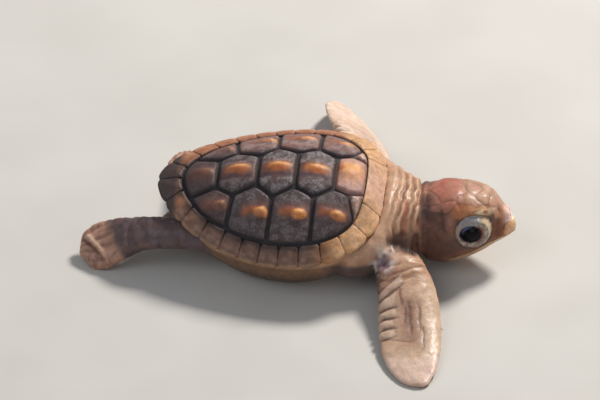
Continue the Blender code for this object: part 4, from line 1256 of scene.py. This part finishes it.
FRONT_LOBES = 5               # long scales down a front flipper's trailing edge
LOBE_START, LOBE_PITCH = 11.7, 2.52
DARK_STREAKS = (              # across, from, to along the flipper, half-width across
    (-0.26, 12.6, 16.0, 0.055),
    (-0.02, 15.6, 22.6, 0.060),
    (0.30, 16.2, 22.0, 0.045),
    (0.40, 21.0, 27.0, 0.030),
    (-0.16, 16.5, 20.5, 0.035),
)
FLIPPER_CREASE = 25.2         # along a front flipper
SCALES_START, SCALE_PITCH = 0.62, 1.7     # along a rear one; the starts are shares of its length
FOOT_FOLD = 0.885


def front_skin(paint, p, n, limb, seed, pale):
    """A front flipper: wrinkled arm, long scales behind, dark streaks, painted shade in its wrinkles, gaps
    and crease; pale is 1 on the far one, which is painted paler as sunlit.
    """
    along, across, height, away = limb.places(p)
    on = ramp(0.10, 0.22, along / limb.length) * ramp(1.6, 1.25, away)
    upper = ramp(-0.2, 0.3, height)
    sway = noise(p, 1.7, seed)
    bent = np.c_[along + 0.5 * sway, across * 1.1 + 0.1 * along, np.zeros(len(p))]
    arm = on * between(along, 3.0, 6.0, 9.5, 13.0)
    wrinkle = noise(bent, 0.55, seed + 4) * arm
    slant = along + (across + 1) * (0.7 + 2.4 * ramp(17.0, 11.5, along))
    phase = (slant - LOBE_START) / LOBE_PITCH + 0.12 * sway
    number = np.clip(np.floor(phase), 0, FRONT_LOBES - 1)
    from_middle = np.abs(2 * np.clip(phase - number, 0, 1) - 1)
    rows = between(phase, -0.05, 0.08, FRONT_LOBES - 0.08, FRONT_LOBES + 0.05) * on
    reach = -0.16 - 0.30 * ramp(0.0, 2.2, phase) + 0.12 * line_noise(number * 1.7, 1.0, seed + 6)
    row = ramp(reach + 0.06 + 0.16 * from_middle, reach - 0.16, across) * rows
    lobe = 1 - from_middle ** 2.6
    border = bell(across - reach, 0.06) * rows
    streak = np.zeros(len(p))
    bend = 0.05 * line_noise(along * 0.4, 1.0, seed + 7) + 0.03 * sway
    for place, start, end, width in DARK_STREAKS:
        line = bell(across - place - bend, width)
        line *= between(along, start - 0.8, start + 0.6, end - 0.6, end + 1.0)
        streak = np.maximum(streak, line)
    streak *= on * upper
    crease = bell(along - FLIPPER_CREASE - 1.2 * across, 0.16) * ramp(0.1, -0.2, across) * on
    rise = row * (0.46 * lobe - 0.24) * (0.75 + 0.25 * upper) * (1 + 0.25 * sway)
    rise += 0.16 * wrinkle - 0.06 * border - 0.09 * streak - 0.16 * crease
    rise += (0.05 * noise(p, 1.2, seed + 8) + 0.025 * noise(p, 0.45, seed + 3)) * on
    notch = 0.9 * ramp(-0.7, -1.0, across) * rows * (1 - lobe)
    inward = limb.wide[np.clip(np.searchsorted(limb.along, along), 0, len(limb.along) - 1)]
    cloud, patch = noise(p, 1.8, 51), noise(p, 0.7, 52)
    middle = bell(across + 0.02, 0.36) * between(along, 13.0, 16.0, 24.0, 28.5) * upper
    side = np.abs(across)
    paint.coats(on, (1, 190, 157, 130),
                (0.5 * ramp(0.0, 0.8, cloud), 196, 166, 142),
                (0.6 * ramp(14.0, 9.0, along), 178, 132, 100),
                # painted shade in the wrinkles' troughs
                (0.65 * ramp(0.0, -0.6, wrinkle), 122, 82, 60),
                (0.5 * arm * ramp(0.3, -0.8, across), 128, 88, 76),
                (0.3 * arm * ramp(0.1, 0.7, patch), 164, 104, 74),
                (0.6 * ramp(0.2, 0.7, across) * ramp(9.0, 13.0, along), 202, 174, 148),
                (0.9 * middle, 132, 94, 74),
                (0.35 * middle * ramp(0.1, 0.7, patch), 182, 144, 116),
                (0.85 * row, 192, 164, 144),
                # painted shade in the gaps between the long scales and along their inner ends
                (0.9 * row * ramp(0.72, 0.25, lobe), 92, 64, 54),
                (0.35 * border, 118, 82, 66),
                (0.95 * streak, 96, 62, 50),
                # painted shade in the crease
                (0.6 * crease, 122, 86, 66),
                (ramp(27.5, 31.5, along + 2.0 * side), 206, 178, 160),
                (0.5 * ramp(31.0, 34.0, along + 1.5 * side) * ramp(0.0, 0.7, patch), 210, 176, 176),
                # painted shade on the underside towards the tip
                (0.6 * ramp(-0.2, -0.7, 2 * upper - 1) * ramp(24.0, 30.0, along), 122, 80, 66),
                # painted light: the far flipper painted paler, as sunlit
                (0.55 * pale, 232, 202, 182))
    return n * rise[:, None] + inward * notch[:, None]


def rear_skin(paint, p, n, limb, seed, shade):
    """A rear flipper: a wrinkled thigh with painted shade as strong as shade says, and a foot with toes
    and a rolled fold, with painted shade in its grooves.
    """
    along, across, height, away = limb.places(p)
    share, side = along / limb.length, np.abs(across)
    on = ramp(0.25, 0.4, share) * ramp(1.6, 1.25, away)
    root = ramp(-0.05, 0.05, share) * ramp(1.9, 1.3, away) * (1 - on)
    sway = noise(p, 1.9, seed)
    wrinkle = noise(np.c_[along + 0.4 * sway, across * 1.6, height], 0.8, seed + 4)
    wrinkle *= on * ramp(0.75, 0.55, share)
    phase = (along - SCALES_START * limb.length) / SCALE_PITCH + 0.5 * across + 0.15 * sway
    lobe = 1 - np.abs(2 * (phase - np.floor(phase)) - 1) ** 3
    row = ramp(0.55, 0.75, side) * ramp(0.55, 0.65, share) * on
    toes = np.cos(2 * math.pi * (across * 2.0 + 0.3 * sway))
    toes *= ramp(0.6, 0.75, share) * on * ramp(0.9, 0.6, side)
    depth = 1.0 if limb is LIMBS["rear_right"] else 0.25      # the near foot is the rolled one
    line = along - FOOT_FOLD * limb.length + 2.6 * (across + 0.1) + 0.25 * sway
    fold = bell(line, 0.55) * ramp(0.75, 0.45, side) * on
    under = bell(line - 0.95, 0.4) * between(across, -0.85, -0.4, 0.4, 0.8) * on
    rise = 0.14 * wrinkle + row * (0.14 * lobe - 0.08) + 0.10 * toes * (1 - fold)
    rise += depth * (0.42 * fold - 0.34 * under) + 0.05 * noise(p, 0.9, seed + 3) * on
    cloud, patch = noise(p, 1.8, 61), noise(p, 0.8, 62)
    foot = ramp(0.66, 0.80, share + 0.04 * cloud + 0.05 * across)
    paint.coats(on, (1, 148, 112, 92))
    paint.coats(shade * (on * (1 - foot) + root), (1, 88, 72, 74),
                (0.6 * ramp(0.0, 0.7, cloud), 106, 90, 100),
                (0.5 * ramp(0.1, 0.7, patch), 82, 56, 48))
    paint.coats(on, (0.95 * foot, 180, 138, 118),
                (0.6 * foot * ramp(0.0, 0.8, cloud), 182, 144, 122),
                (0.5 * foot * ramp(0.1, 0.8, -patch), 112, 74, 58),
                # painted shade between the toes, between the scale rows and in the wrinkles' troughs
                (0.5 * foot * ramp(0.2, -0.7, toes), 104, 66, 50),
                (0.45 * row * ramp(0.5, 0.1, lobe), 88, 56, 46),
                (0.5 * ramp(0.0, -0.7, wrinkle), 64, 48, 48),
                (0.5 * ramp(0.95, 1.0, share), 190, 150, 124),
                (0.9 * shade * fold, 214, 180, 156),
                # painted shade beneath the rolled fold
                (0.8 * shade * under, 78, 46, 38))
    return n * rise[:, None]


def trunk_skin(paint, p, n):
    """The body's side, with fine folds: brown, with painted shade low down and behind, paler in front."""
    local = SHELL.into(TURTLE.out(p))
    u, v, w = local.T
    m = ramp(1.0, 0.97, reach_of(u, v)) * ramp(-1.0, -2.0, w)
    cloud = noise(p, 2.0, 72)
    paint.coats(m, (1, 118, 88, 64),
                (0.5 * ramp(0.0, 0.8, cloud), 142, 106, 74),
                # painted shade low down under the rim and towards the rear
                (0.8 * ramp(-3.6, -6.5, w + 0.5 * cloud), 76, 60, 50),
                (0.7 * ramp(-10.0, -16.0, u), 84, 66, 64),
                (0.7 * ramp(8.0, 16.0, u), 176, 134, 108))
    return n * (0.06 * noise(local * (0.35, 0.35, 1.0), 0.8, 71) * m)[:, None]


# ---------------------------------------------------------------- the one skin

FLESH = ("head", "lower_jaw", "neck", "trunk", "tail", "front_flipper_left", "front_flipper_right",
         "rear_flipper_left", "rear_flipper_right")
LIMB_SKIN = (                 # limb, its skin, seed, and its painted light (front) and painted shade (rear)
    ("front_right", front_skin, 100, 0.0),
    ("front_left", front_skin, 110, 1.0),
    ("rear_right", rear_skin, 120, 1.0),
    ("rear_left", rear_skin, 130, 0.2),
)
BOX_EASE = 0.6 * MM           # the skin is eased back over this depth where it nears the solids' box


def head_share(points):
    """1 on the head, falling to 0 in the crease behind it, with the places in the head's frame."""
    local = HEAD.into(TURTLE.out(points))
    return ramp(-0.9, 0.0, local[:, 0]) * ramp(11.0, 9.5, np.abs(local[:, 1])), local


def kept_inside(places):
    """Places in metres, eased back where they would leave the solids' box, and none below its floor."""
    for k in range(3):
        over = np.maximum(places[:, k] - (CAD_BOX[1][k] - BOX_EASE), 0)
        places[:, k] += BOX_EASE * (1 - np.exp(-over / BOX_EASE)) - over
        if k < 2:
            under = np.maximum(CAD_BOX[0][k] + BOX_EASE - places[:, k], 0)
            places[:, k] -= BOX_EASE * (1 - np.exp(-under / BOX_EASE)) - under
    places[:, 2] = np.maximum(places[:, 2], CAD_BOX[0][2])
    return places


def make_skin():
    mesh = base_skin()
    finer(mesh, head_share(coordinates(mesh))[0] > 0.5)
    share, local = head_share(coordinates(mesh))
    ring = eye_measures(local)[0]
    finer(mesh, (share > 0.5) & (ring < LID_OUTER + 0.7) & (np.abs(local[:, 1]) > 3.5))
    relax(mesh, 3, mask=(head_share(coordinates(mesh))[0] > 0.5).astype(float))
    rest, facing = coordinates(mesh), normals(mesh)
    paint = Paint.plain(len(rest), 190, 148, 118)
    points = rest + trunk_skin(paint, rest, facing) + neck_skin(paint, rest, facing)
    for name, limb_skin, seed, tone in LIMB_SKIN:
        points += limb_skin(paint, rest, facing, LIMBS[name], seed, tone)
    share, local = head_share(rest)
    head = share > 0
    share, local = share[head], local[head]
    moved, marks = shape_head(local, facing[head] @ HEAD_TURN)
    points[head] += (moved - local) @ HEAD_TURN.T * share[:, None]
    head_paint = Paint(paint.rgb[head])
    paint_head(head_paint, local, marks, share)
    paint.rgb[head] = head_paint.rgb
    paint_shoulder(paint, rest)
    move(mesh, kept_inside(TURTLE.out(points) * MM))
    mesh.shade_smooth()
    finish_piece(linked("skin", mesh), paint, "skin", *FLESH)


# ---------------------------------------------------------------- eyes, beak and claws

CORNEA = 0.09                 # how far the cornea stands proud
EYE_AXIS = (0.16, 1.0, -0.05)     # the left eye's
BEAK_VOXEL = 0.1
EGG_TOOTH = (17.3, 0.0, 1.2)
CLAW_RINGS, CLAW_POINTS = 12, 16
CLAW_RADIUS = 0.30
CLAWS = {"front": ((0.56, 0.95), (0.72, 0.6)), "rear": ((0.82, 0.7), (0.92, 0.5))}  # share along, length


def make_eye(side, sign):
    """An eyeball with a cornea that stands a little proud."""
    ball = reworked(bpy.data.meshes.new("ball"), lambda body: bmesh.ops.create_uvsphere(
        body, u_segments=96, v_segments=64, radius=1.0))
    unit = coordinates(ball)
    off = np.arccos(np.clip(unit[:, 2], -1, 1))               # angle from the eye's axis
    axis = np.array(EYE_AXIS) * (1, sign, 1)
    axis /= np.linalg.norm(axis)
    across = np.cross((0, 0, 1), axis)
    across /= np.linalg.norm(across)
    turned = unit @ np.array((across, np.cross(axis, across), axis))
    radius = (EYE_RADIUS - CORNEA) + CORNEA * ramp(0.75, 0.5, off)
    points = turned * radius[:, None] + np.array(EYE_CENTRE) * (1, sign, 1)
    ray = np.arctan2(unit[:, 1], unit[:, 0])
    rays = noise(np.c_[np.cos(ray), np.sin(ray), off] * 5, 0.6, 81)
    ahead, up = turned[:, 0] / 0.7, turned[:, 2] / 0.7
    paint = Paint.plain(len(unit), 15, 16, 24)
    paint.coats(1, (ramp(0.98, 0.86, off), 18, 20, 32),
                (0.6 * ramp(0.2, 0.8, rays), 38, 38, 48),
                # painted reflection: a bluish sheen on the upper rear of the iris
                (0.9 * ramp(0.48, 0.62, off) * ramp(-0.1, 0.5, up) * ramp(0.5, -0.2, ahead), 80, 90, 118),
                (0.7 * ramp(0.54, 0.7, off) * ramp(0.0, 0.8, ahead), 92, 64, 58),
                (ramp(0.60, 0.50, off), 7, 8, 14),
                (ramp(0.98, 1.08, off), 60, 58, 62))
    finish_piece(make_mesh(f"eyeball_{side}", points, corners(ball), HEAD), paint, "eye", f"eye_{side}")


def make_beak(name, node):
    """The horny sheath of a jaw: the solid, rounded, with its cutting edge and egg tooth."""
    source = bpy.data.objects[node].data
    mesh = remeshed(name, TURTLE.into(coordinates(source) / MM), corners(source), BEAK_VOXEL)
    relax(mesh, 10)
    relax(mesh, 3, swell=0)
    points, facing = coordinates(mesh), normals(mesh)
    local = HEAD.into(TURTLE.out(points))
    x, y, z = local.T
    upper = node == "beak_upper"
    back = ramp(0.9, 0.0, x - (UPPER_BEAK_BACK if upper else LOWER_BEAK_BACK))
    rise = 0.05 + 0.07 * noise(local, 0.6, 91) - 0.14 * back
    if upper:
        rise += 0.30 * bell(gap_to(local, EGG_TOOTH), 0.5)
        rise += 0.14 * bell(z + 1.7, 0.35) * ramp(15.2, 16.5, x)
    moved = HEAD.into(TURTLE.out(points + facing * rise[:, None]))
    if upper:                                  # lower at its top, where the soft snout begins
        moved[:, 2] -= SNOUT_DROP * 1.15 * ramp(-1.6, 1.6, moved[:, 2])
    move(mesh, HEAD.out(moved) * MM)
    mesh.shade_smooth()
    paint = Paint.plain(len(local), 212, 160, 120)
    tip = ramp(15.3, 16.3, x)
    paint.coats(1, (1 - tip, 150, 82, 44),
                (0.5 * ramp(0.0, 0.7, noise(local, 0.7, 92)), 178, 124, 78))
    if upper:
        paint.coats(1, (0.85 * ramp(0.4, 1.3, z) * tip * ramp(1.5, 0.6, np.abs(y)), 230, 206, 160),
                    (0.6 * ramp(-1.2, -1.9, z), 150, 100, 62))
    else:
        paint.coats(0.7, (1, 206, 168, 130))
    finish_piece(linked(name, mesh), paint, "horn", node)


def make_claw(name, limb, share, length):
    """A small curved claw on the leading edge of a limb."""
    i = int(np.searchsorted(limb.along, share * limb.length))
    axis = limb.middle[i + 1] - limb.middle[i - 1]
    axis /= np.linalg.norm(axis)
    out, up = limb.wide[i], limb.high[i]
    root = limb.middle[i] + out * (limb.ahead[i] - 0.35) + up * 0.1
    angle = np.linspace(0, 2 * math.pi, CLAW_POINTS, endpoint=False)
    rings = []
    for t in np.linspace(0, 0.96, CLAW_RINGS):
        centre = root + out * length * (t - 0.25 * t * t) + axis * length * 0.75 * t * t
        centre = centre - up * 0.12 * length * t * t
        radius = CLAW_RADIUS * (1 - t) ** 0.75 + 0.02
        rings.append(centre + np.outer(np.cos(angle) * radius, axis)
                     + np.outer(np.sin(angle) * radius * 0.7, up))
    points, faces = lofted(rings, root - out * 0.2, rings[-1].mean(axis=0) + axis * 0.08)
    points[:, 2] = np.maximum(points[:, 2], 0.02)
    along = np.r_[np.repeat(np.linspace(0, 1, CLAW_RINGS), CLAW_POINTS), 0, 1]
    paint = Paint.plain(len(points), 150, 108, 78)
    paint.coats(along, (1, 222, 196, 158))
    finish_piece(make_mesh(name, points, faces, TURTLE), paint, "horn")


def make_claws():
    for side in ("right", "left"):
        for end, claws in CLAWS.items():
            for number, (share, length) in enumerate(claws, 1):
                make_claw(f"claw_{end}_{side}_{number}", LIMBS[f"{end}_{side}"], share, length)


# ---------------------------------------------------------------- plastron

PLASTRON_SEAMS = (15.2, 10.2, 4.4, -2.2, -9.0)      # u of the seams across the belly
BELLY_SIDE = ((0.6, -8.98), (0.68, -9.0), (0.735, -9.3), (0.72, -10.0), (0.68, -10.42), (0.62, -10.6),
              (0.3, -10.6))   # reach and height
BELLY_BAND = 5.5              # from the middle line to the darker band on each side


def make_plastron():
    """The belly's plates in one shield: paired, with seams between and a darker band on each side."""
    rings = level_rings(spline(BELLY_SIDE, 90), 200)
    points, faces = lofted(rings, on_axis(-9.2), on_axis(-10.6))
    points = SHELL.out(points)
    points[:, 2] = np.maximum(points[:, 2], TURTLE.origin[2])
    points = SHELL.into(points)
    u, v, w = points.T
    bend = 0.9 * np.abs(v) / 8 - 0.02 * v * v
    across = np.min([np.abs(u - seam - bend) for seam in PLASTRON_SEAMS], axis=0)
    middle = np.abs(v + 0.25 * noise(np.c_[u, 0 * u, 0 * u], 2.0, 95))
    groove = bell(np.minimum(middle, across), 0.24)
    w += np.where(w < -9.5, 0.16 * groove + 0.02 * noise(points, 0.6, 96) + 0.02, 0.0)
    paint = Paint.plain(len(points), 196, 158, 112)
    paint.coats(1, (0.5 * ramp(0.0, 0.7, noise(points, 2.4, 97)), 168, 118, 80),
                (0.55 * bell(np.abs(v) - BELLY_BAND, 1.6), 150, 98, 66),
                (0.7 * groove, 104, 70, 50),
                (0.6 * ramp(-10.0, -9.4, w), 150, 104, 68))
    finish_piece(make_mesh("plastron_shield", points, faces, SHELL), paint, "belly", "plastron")


# ---------------------------------------------------------------- materials

class Nodes:
    """Short names for the nodes of one material."""

    def __init__(self, name):
        self.material = bpy.data.materials.new(name)
        self.material.use_nodes = True
        self.tree = self.material.node_tree
        self.shader = self.tree.nodes["Principled BSDF"]
        self.place = self.tree.nodes.new("ShaderNodeTexCoord").outputs["Object"]

    def set(self, node, values):
        for name, value in values.items():
            if isinstance(value, bpy.types.NodeSocket):
                self.tree.links.new(value, node.inputs[name])
            else:
                node.inputs[name].default_value = value

    def add(self, kind, output, inputs, **settings):
        """One more node; gives the output asked for."""
        made = self.tree.nodes.new(f"ShaderNode{kind}")
        for name, value in settings.items():
            setattr(made, name, value)
        self.set(made, inputs)
        return made.outputs[output]

    def attribute(self, name, output="Fac"):
        return self.add("Attribute", output, {}, attribute_name=name)

    def noise(self, cell_mm, detail=2.0, rough=0.55):
        return self.add("TexNoise", "Fac", {"Vector": self.place, "Scale": 1.0 / (cell_mm * MM),
                                            "Detail": detail, "Roughness": rough})

    def cells(self, cell_mm):
        return self.add("TexVoronoi", "Distance", {"Vector": self.place, "Scale": 1.0 / (cell_mm * MM)},
                        feature="DISTANCE_TO_EDGE")

    def map(self, value, low, high, to_low=0.0, to_high=1.0):
        inputs = {"Value": value, "From Min": low, "From Max": high, "To Min": to_low, "To Max": to_high}
        return self.add("MapRange", "Result", inputs, interpolation_type="SMOOTHSTEP")

    def mottle(self, to_low, to_high, cell_mm, detail=3.0, rough=0.55):
        """A value that wanders between two limits."""
        return self.map(self.noise(cell_mm, detail, rough), 0.3, 0.7, to_low, to_high)

    def product(self, a, b):
        return self.add("Math", 0, {0: a, 1: b}, operation="MULTIPLY")

    def mix(self, share, a, b, kind="MIX"):
        return self.add("Mix", 2, {0: share, 6: a, 7: b}, data_type="RGBA", blend_type=kind)

    def tinted(self, tone):
        """The painted colour, made lighter and darker by a tone."""
        return self.mix(1.0, self.attribute("tint", "Color"), tone, "MULTIPLY")

    def bump(self, height, depth_mm, strength, **under):
        return self.add("Bump", "Normal", {"Strength": strength, "Distance": depth_mm * MM,
                                           "Height": height, **under})

    def finish(self, colour, roughness, **fixed):
        self.set(self.shader, {"Base Color": colour, "Roughness": roughness})
        self.set(self.shader, {name.replace("_", " "): value for name, value in fixed.items()})
        return self.material


def skin_material(name, wet, grain_mm):
    """Soft moist skin: mottled, finely creased, with damp glints."""
    n = Nodes(name)
    tinted = n.tinted(n.product(n.mottle(0.86, 1.12, 1.6), n.mottle(0.90, 1.08, 0.28, 3.0, 0.65)))
    flush = n.map(n.noise(2.6), 0.45, 0.75, 0.0, 0.16)
    tinted = n.mix(flush, tinted, (0.50, 0.20, 0.13, 1.0))
    crease = n.map(n.cells(grain_mm), 0.0, 0.14)
    tinted = n.mix(n.map(crease, 0.0, 1.0, 0.14, 0.0), tinted, (0.12, 0.06, 0.04, 1.0))
    folds = n.bump(crease, 0.035, 0.6)
    grain = n.bump(n.noise(0.16, 3.0, 0.6), 0.03, 0.5, Normal=folds)
    return n.finish(tinted, n.mottle(0.44, 0.68, 0.9), Normal=grain, Subsurface_Radius=(1.0, 0.35, 0.2),
                    Subsurface_Weight=0.18, Subsurface_Scale=0.9 * MM, Coat_Weight=wet,
                    Coat_Roughness=0.26, IOR=1.42)


def scute_material():
    """Young horn: granular, scuffed pale on its high parts, faintly waxy."""
    n = Nodes("scute_horn")
    tinted = n.tinted(n.product(n.mottle(0.84, 1.14, 1.3), n.mottle(0.84, 1.12, 0.18, 4.0, 0.7)))
    specks = n.map(n.noise(0.4, 4.0, 0.85), 0.30, 0.68)
    drifts = n.map(n.noise(1.6, 3.0, 0.6), 0.42, 0.58, 0.10, 1.0)
    frost = n.product(n.product(specks, drifts), n.attribute("frost"))
    tinted = n.mix(n.product(frost, 0.5), tinted, (0.45, 0.41, 0.43, 1.0))
    granules = n.bump(n.map(n.cells(0.24), 0.0, 0.25), 0.03, 0.5)
    grain = n.bump(n.noise(0.12, 3.0, 0.6), 0.025, 0.5, Normal=granules)
    return n.finish(tinted, n.mottle(0.50, 0.72, 0.7), Normal=n.bump(frost, 0.03, 0.5, Normal=grain),
                    Coat_Weight=0.08, Coat_Roughness=0.35, IOR=1.45)


def horn_material():
    """The beaks' and claws' horn: slightly clear and polished."""
    n = Nodes("beak_horn")
    return n.finish(n.tinted(n.mottle(0.86, 1.12, 0.5)), n.mottle(0.28, 0.48, 0.4, 2.0),
                    Normal=n.bump(n.noise(0.15, 3.0), 0.02, 0.5), Subsurface_Radius=(1.0, 0.6, 0.3),
                    Subsurface_Weight=0.12, Subsurface_Scale=0.5 * MM, Coat_Weight=0.25,
                    Coat_Roughness=0.2, IOR=1.5)


def eye_material():
    """A wet, dark eye."""
    n = Nodes("wet_eye")
    return n.finish(n.tinted(n.mottle(0.8, 1.2, 0.3)), n.mottle(0.16, 0.26, 0.6, 2.0),
                    Normal=n.bump(n.noise(0.5), 0.004, 0.3), Coat_Weight=0.10, Coat_Roughness=0.05,
                    IOR=1.33, Specular_IOR_Level=0.12)


MATERIALS = {
    "skin": skin_material("damp_skin", 0.20, 0.42),
    "belly": skin_material("belly_horn", 0.15, 0.30),
    "scute": scute_material(),
    "horn": horn_material(),
    "eye": eye_material(),
}


# ---------------------------------------------------------------- stage, light and camera

CAMERA_AZIMUTH, CAMERA_ELEVATION = 6.0, 37.0
CAMERA_DISTANCE = 1000.0
VIEW_WIDTH = 115.9            # millimetres across the picture at the turtle
AIM_RIGHT, AIM_DOWN = 5.58, 0.77     # of the picture's middle from the shell's centre
FLOOR_SIZE = 2.5              # metres from its middle to its edge
FLOOR_GAP = 0.05 * MM         # below the turtle's lowest point
LAMPS = (                     # name, place, power, size, colour
    ("sun_side", (330, 460, 600), 8.2, 190, (1.0, 0.96, 0.90)),
    ("sky_fill", (-520, -420, 700), 1.9, 700, (0.86, 0.92, 1.0)),
    ("front_fill", (350, -700, 260), 0.8, 500, (1.0, 0.96, 0.92)),
)
LAMP_AIM = (0, 0, 8)
SKY_COLOUR, SKY_STRENGTH = (0.86, 0.90, 0.95, 1.0), 0.26


def make_floor():
    mesh = reworked(bpy.data.meshes.new("floor"), lambda body: bmesh.ops.create_grid(
        body, x_segments=24, y_segments=24, size=FLOOR_SIZE))
    floor = linked("floor", mesh)
    floor.location.z = CAD_BOX[0][2] - FLOOR_GAP
    n = Nodes("pale_floor")
    tone = n.mix(n.mottle(0.0, 1.0, 30.0, 2.0), (0.54, 0.52, 0.49, 1.0), (0.58, 0.56, 0.53, 1.0))
    mesh.materials.append(n.finish(tone, 0.8))


def make_lights():
    for name, place, power, size, colour in LAMPS:
        data = bpy.data.lights.new(name, "AREA")
        data.shape = "DISK"
        data.size = size * MM
        data.energy = power
        data.color = colour
        lamp = linked(name, data)
        lamp.location = Vector(place) * MM
        lamp.rotation_euler = (Vector(place) - Vector(LAMP_AIM)).to_track_quat("Z", "Y").to_euler()
    world = bpy.data.worlds.new("studio")
    world.use_nodes = True
    background = world.node_tree.nodes["Background"]
    background.inputs["Color"].default_value = SKY_COLOUR
    background.inputs["Strength"].default_value = SKY_STRENGTH
    bpy.context.scene.world = world
    bpy.context.scene.view_settings.view_transform = "Standard"


def make_camera():
    a, e = math.radians(CAMERA_AZIMUTH), math.radians(CAMERA_ELEVATION)
    right = Vector((math.cos(a), math.sin(a), 0.0))
    ahead = Vector((-math.sin(a) * math.cos(e), math.cos(a) * math.cos(e), -math.sin(e)))
    up = right.cross(ahead)
    target = Vector(SHELL.origin) + right * AIM_RIGHT - up * AIM_DOWN
    data = bpy.data.cameras.new("camera")
    data.sensor_width = 36.0
    data.lens = data.sensor_width * CAMERA_DISTANCE / VIEW_WIDTH
    data.clip_start = 0.05
    camera = linked("camera", data)
    rotation = Matrix((right, up, -ahead)).transposed().to_4x4()
    camera.matrix_world = Matrix.Translation((target - ahead * CAMERA_DISTANCE) * MM) @ rotation
    bpy.context.scene.camera = camera


make_camera()
make_floor()
make_lights()
make_seam_bed()
make_scutes()
make_skin()
make_plastron()
make_eye("right", -1)
make_eye("left", 1)
make_beak("beak_sheath_upper", "beak_upper")
make_beak("beak_sheath_lower", "beak_lower")
make_claws()
